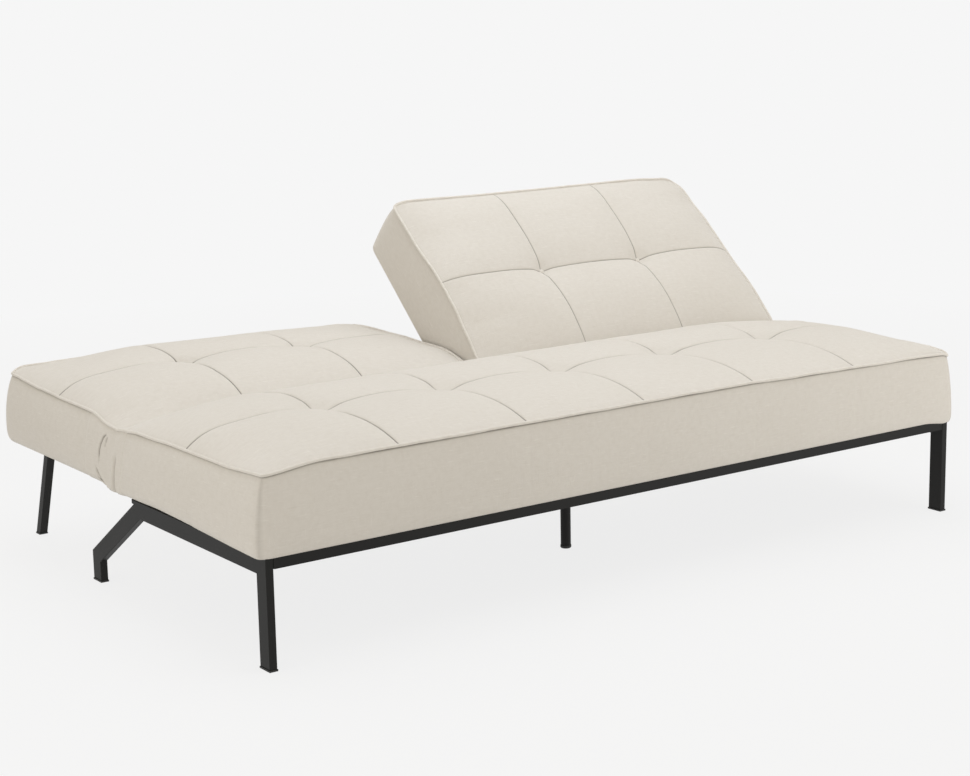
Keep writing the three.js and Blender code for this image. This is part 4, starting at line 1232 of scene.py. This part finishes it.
def soft_light():
    """A warm fill from the world, which shows white to the camera, and four soft lamps."""
    world = bpy.data.worlds.new("studio")
    bpy.context.scene.world = world
    sky = Nodes(world)
    path = sky.node("ShaderNodeLightPath")
    fill = sky.node("ShaderNodeBackground", None, {"Color": FILL, "Strength": FILL_STRENGTH})
    shown = sky.node("ShaderNodeBackground", None, {"Color": SHOWN_WHITE, "Strength": 1.0})
    seen = {0: path.outputs["Is Camera Ray"], 1: fill.outputs[0], 2: shown.outputs[0]}
    mixed = sky.node("ShaderNodeMixShader", None, seen)
    sky.node("ShaderNodeOutputWorld", None, {"Surface": mixed.outputs[0]})
    for name, settings in LAMPS.items():
        lamp(name, *settings)


def lamp(name, place, target, size, power, tint):
    data = bpy.data.lights.new(name, "AREA")
    data.shape = "SQUARE"
    data.size = size
    data.energy = power
    data.color = tint
    light = linked(name, data)
    light.location = place
    way = Vector(target) - Vector(place)
    light.rotation_euler = way.to_track_quat("-Z", "Y").to_euler()


def camera():
    """The photograph's viewpoint, from the fit of the bed's straight edges."""
    yaw, pitch, roll = (math.radians(angle) for angle in CAMERA_ANGLES)
    forward = Vector((math.sin(yaw) * math.cos(pitch), math.cos(yaw) * math.cos(pitch), -math.sin(pitch)))
    right = forward.cross(Vector((0, 0, 1))).normalized()
    up = right.cross(forward)
    turned_right = right * math.cos(roll) + up * math.sin(roll)
    turned_up = up * math.cos(roll) - right * math.sin(roll)
    data = bpy.data.cameras.new("view")
    data.sensor_fit = "HORIZONTAL"
    data.sensor_width = SENSOR_WIDTH
    data.lens = CAMERA_LENS
    data.clip_end = FAR_CLIP
    view = linked("view", data)
    axes = Matrix((turned_right, turned_up, -forward)).transposed()
    view.matrix_world = Matrix.Translation(CAMERA_PLACE) @ axes.to_4x4()
    bpy.context.scene.camera = view


camera()
soft_light()
stage()
dress_nodes()
fabric = linen("woven_linen", True)
trim = linen("linen_piping", False, LINEN_PIPING_PAINTED_HIGHLIGHT)

seat = Pad(
    "seat_cushion_cover", seat_top, SEAT_BOTTOM, SEAT_BAND, SEAT_CORNERS, "rear",
    soft_corner=(SEAT_RIGHT, SEAT_FRONT),
)
left = Pad("back_cushion_cover_left", left_back_top, BACK_BOTTOM, BACK_BAND, LEFT_BACK_CORNERS, "front", -1)
right = Pad(
    "back_cushion_cover_right", right_back_top, BACK_BOTTOM, BACK_BAND, RIGHT_BACK_CORNERS, "front", 1,
    tone=0.72,
)
cushion(seat, "base", "seat_cushion", fabric, trim)
cushion(left, "left_back", "back_cushion_left", fabric, trim)
cushion(right, "right_back", "back_cushion_right", fabric, trim, raised=True)

pleat("hinge_pleat_left", -1, fabric, seat_top.ends[0], left_back_top.ends[0], False)
pleat("hinge_pleat_right", 1, fabric, seat_top.ends[1], right_back_top.ends[1], True)

bpy.context.scene.view_settings.view_transform = "Standard"
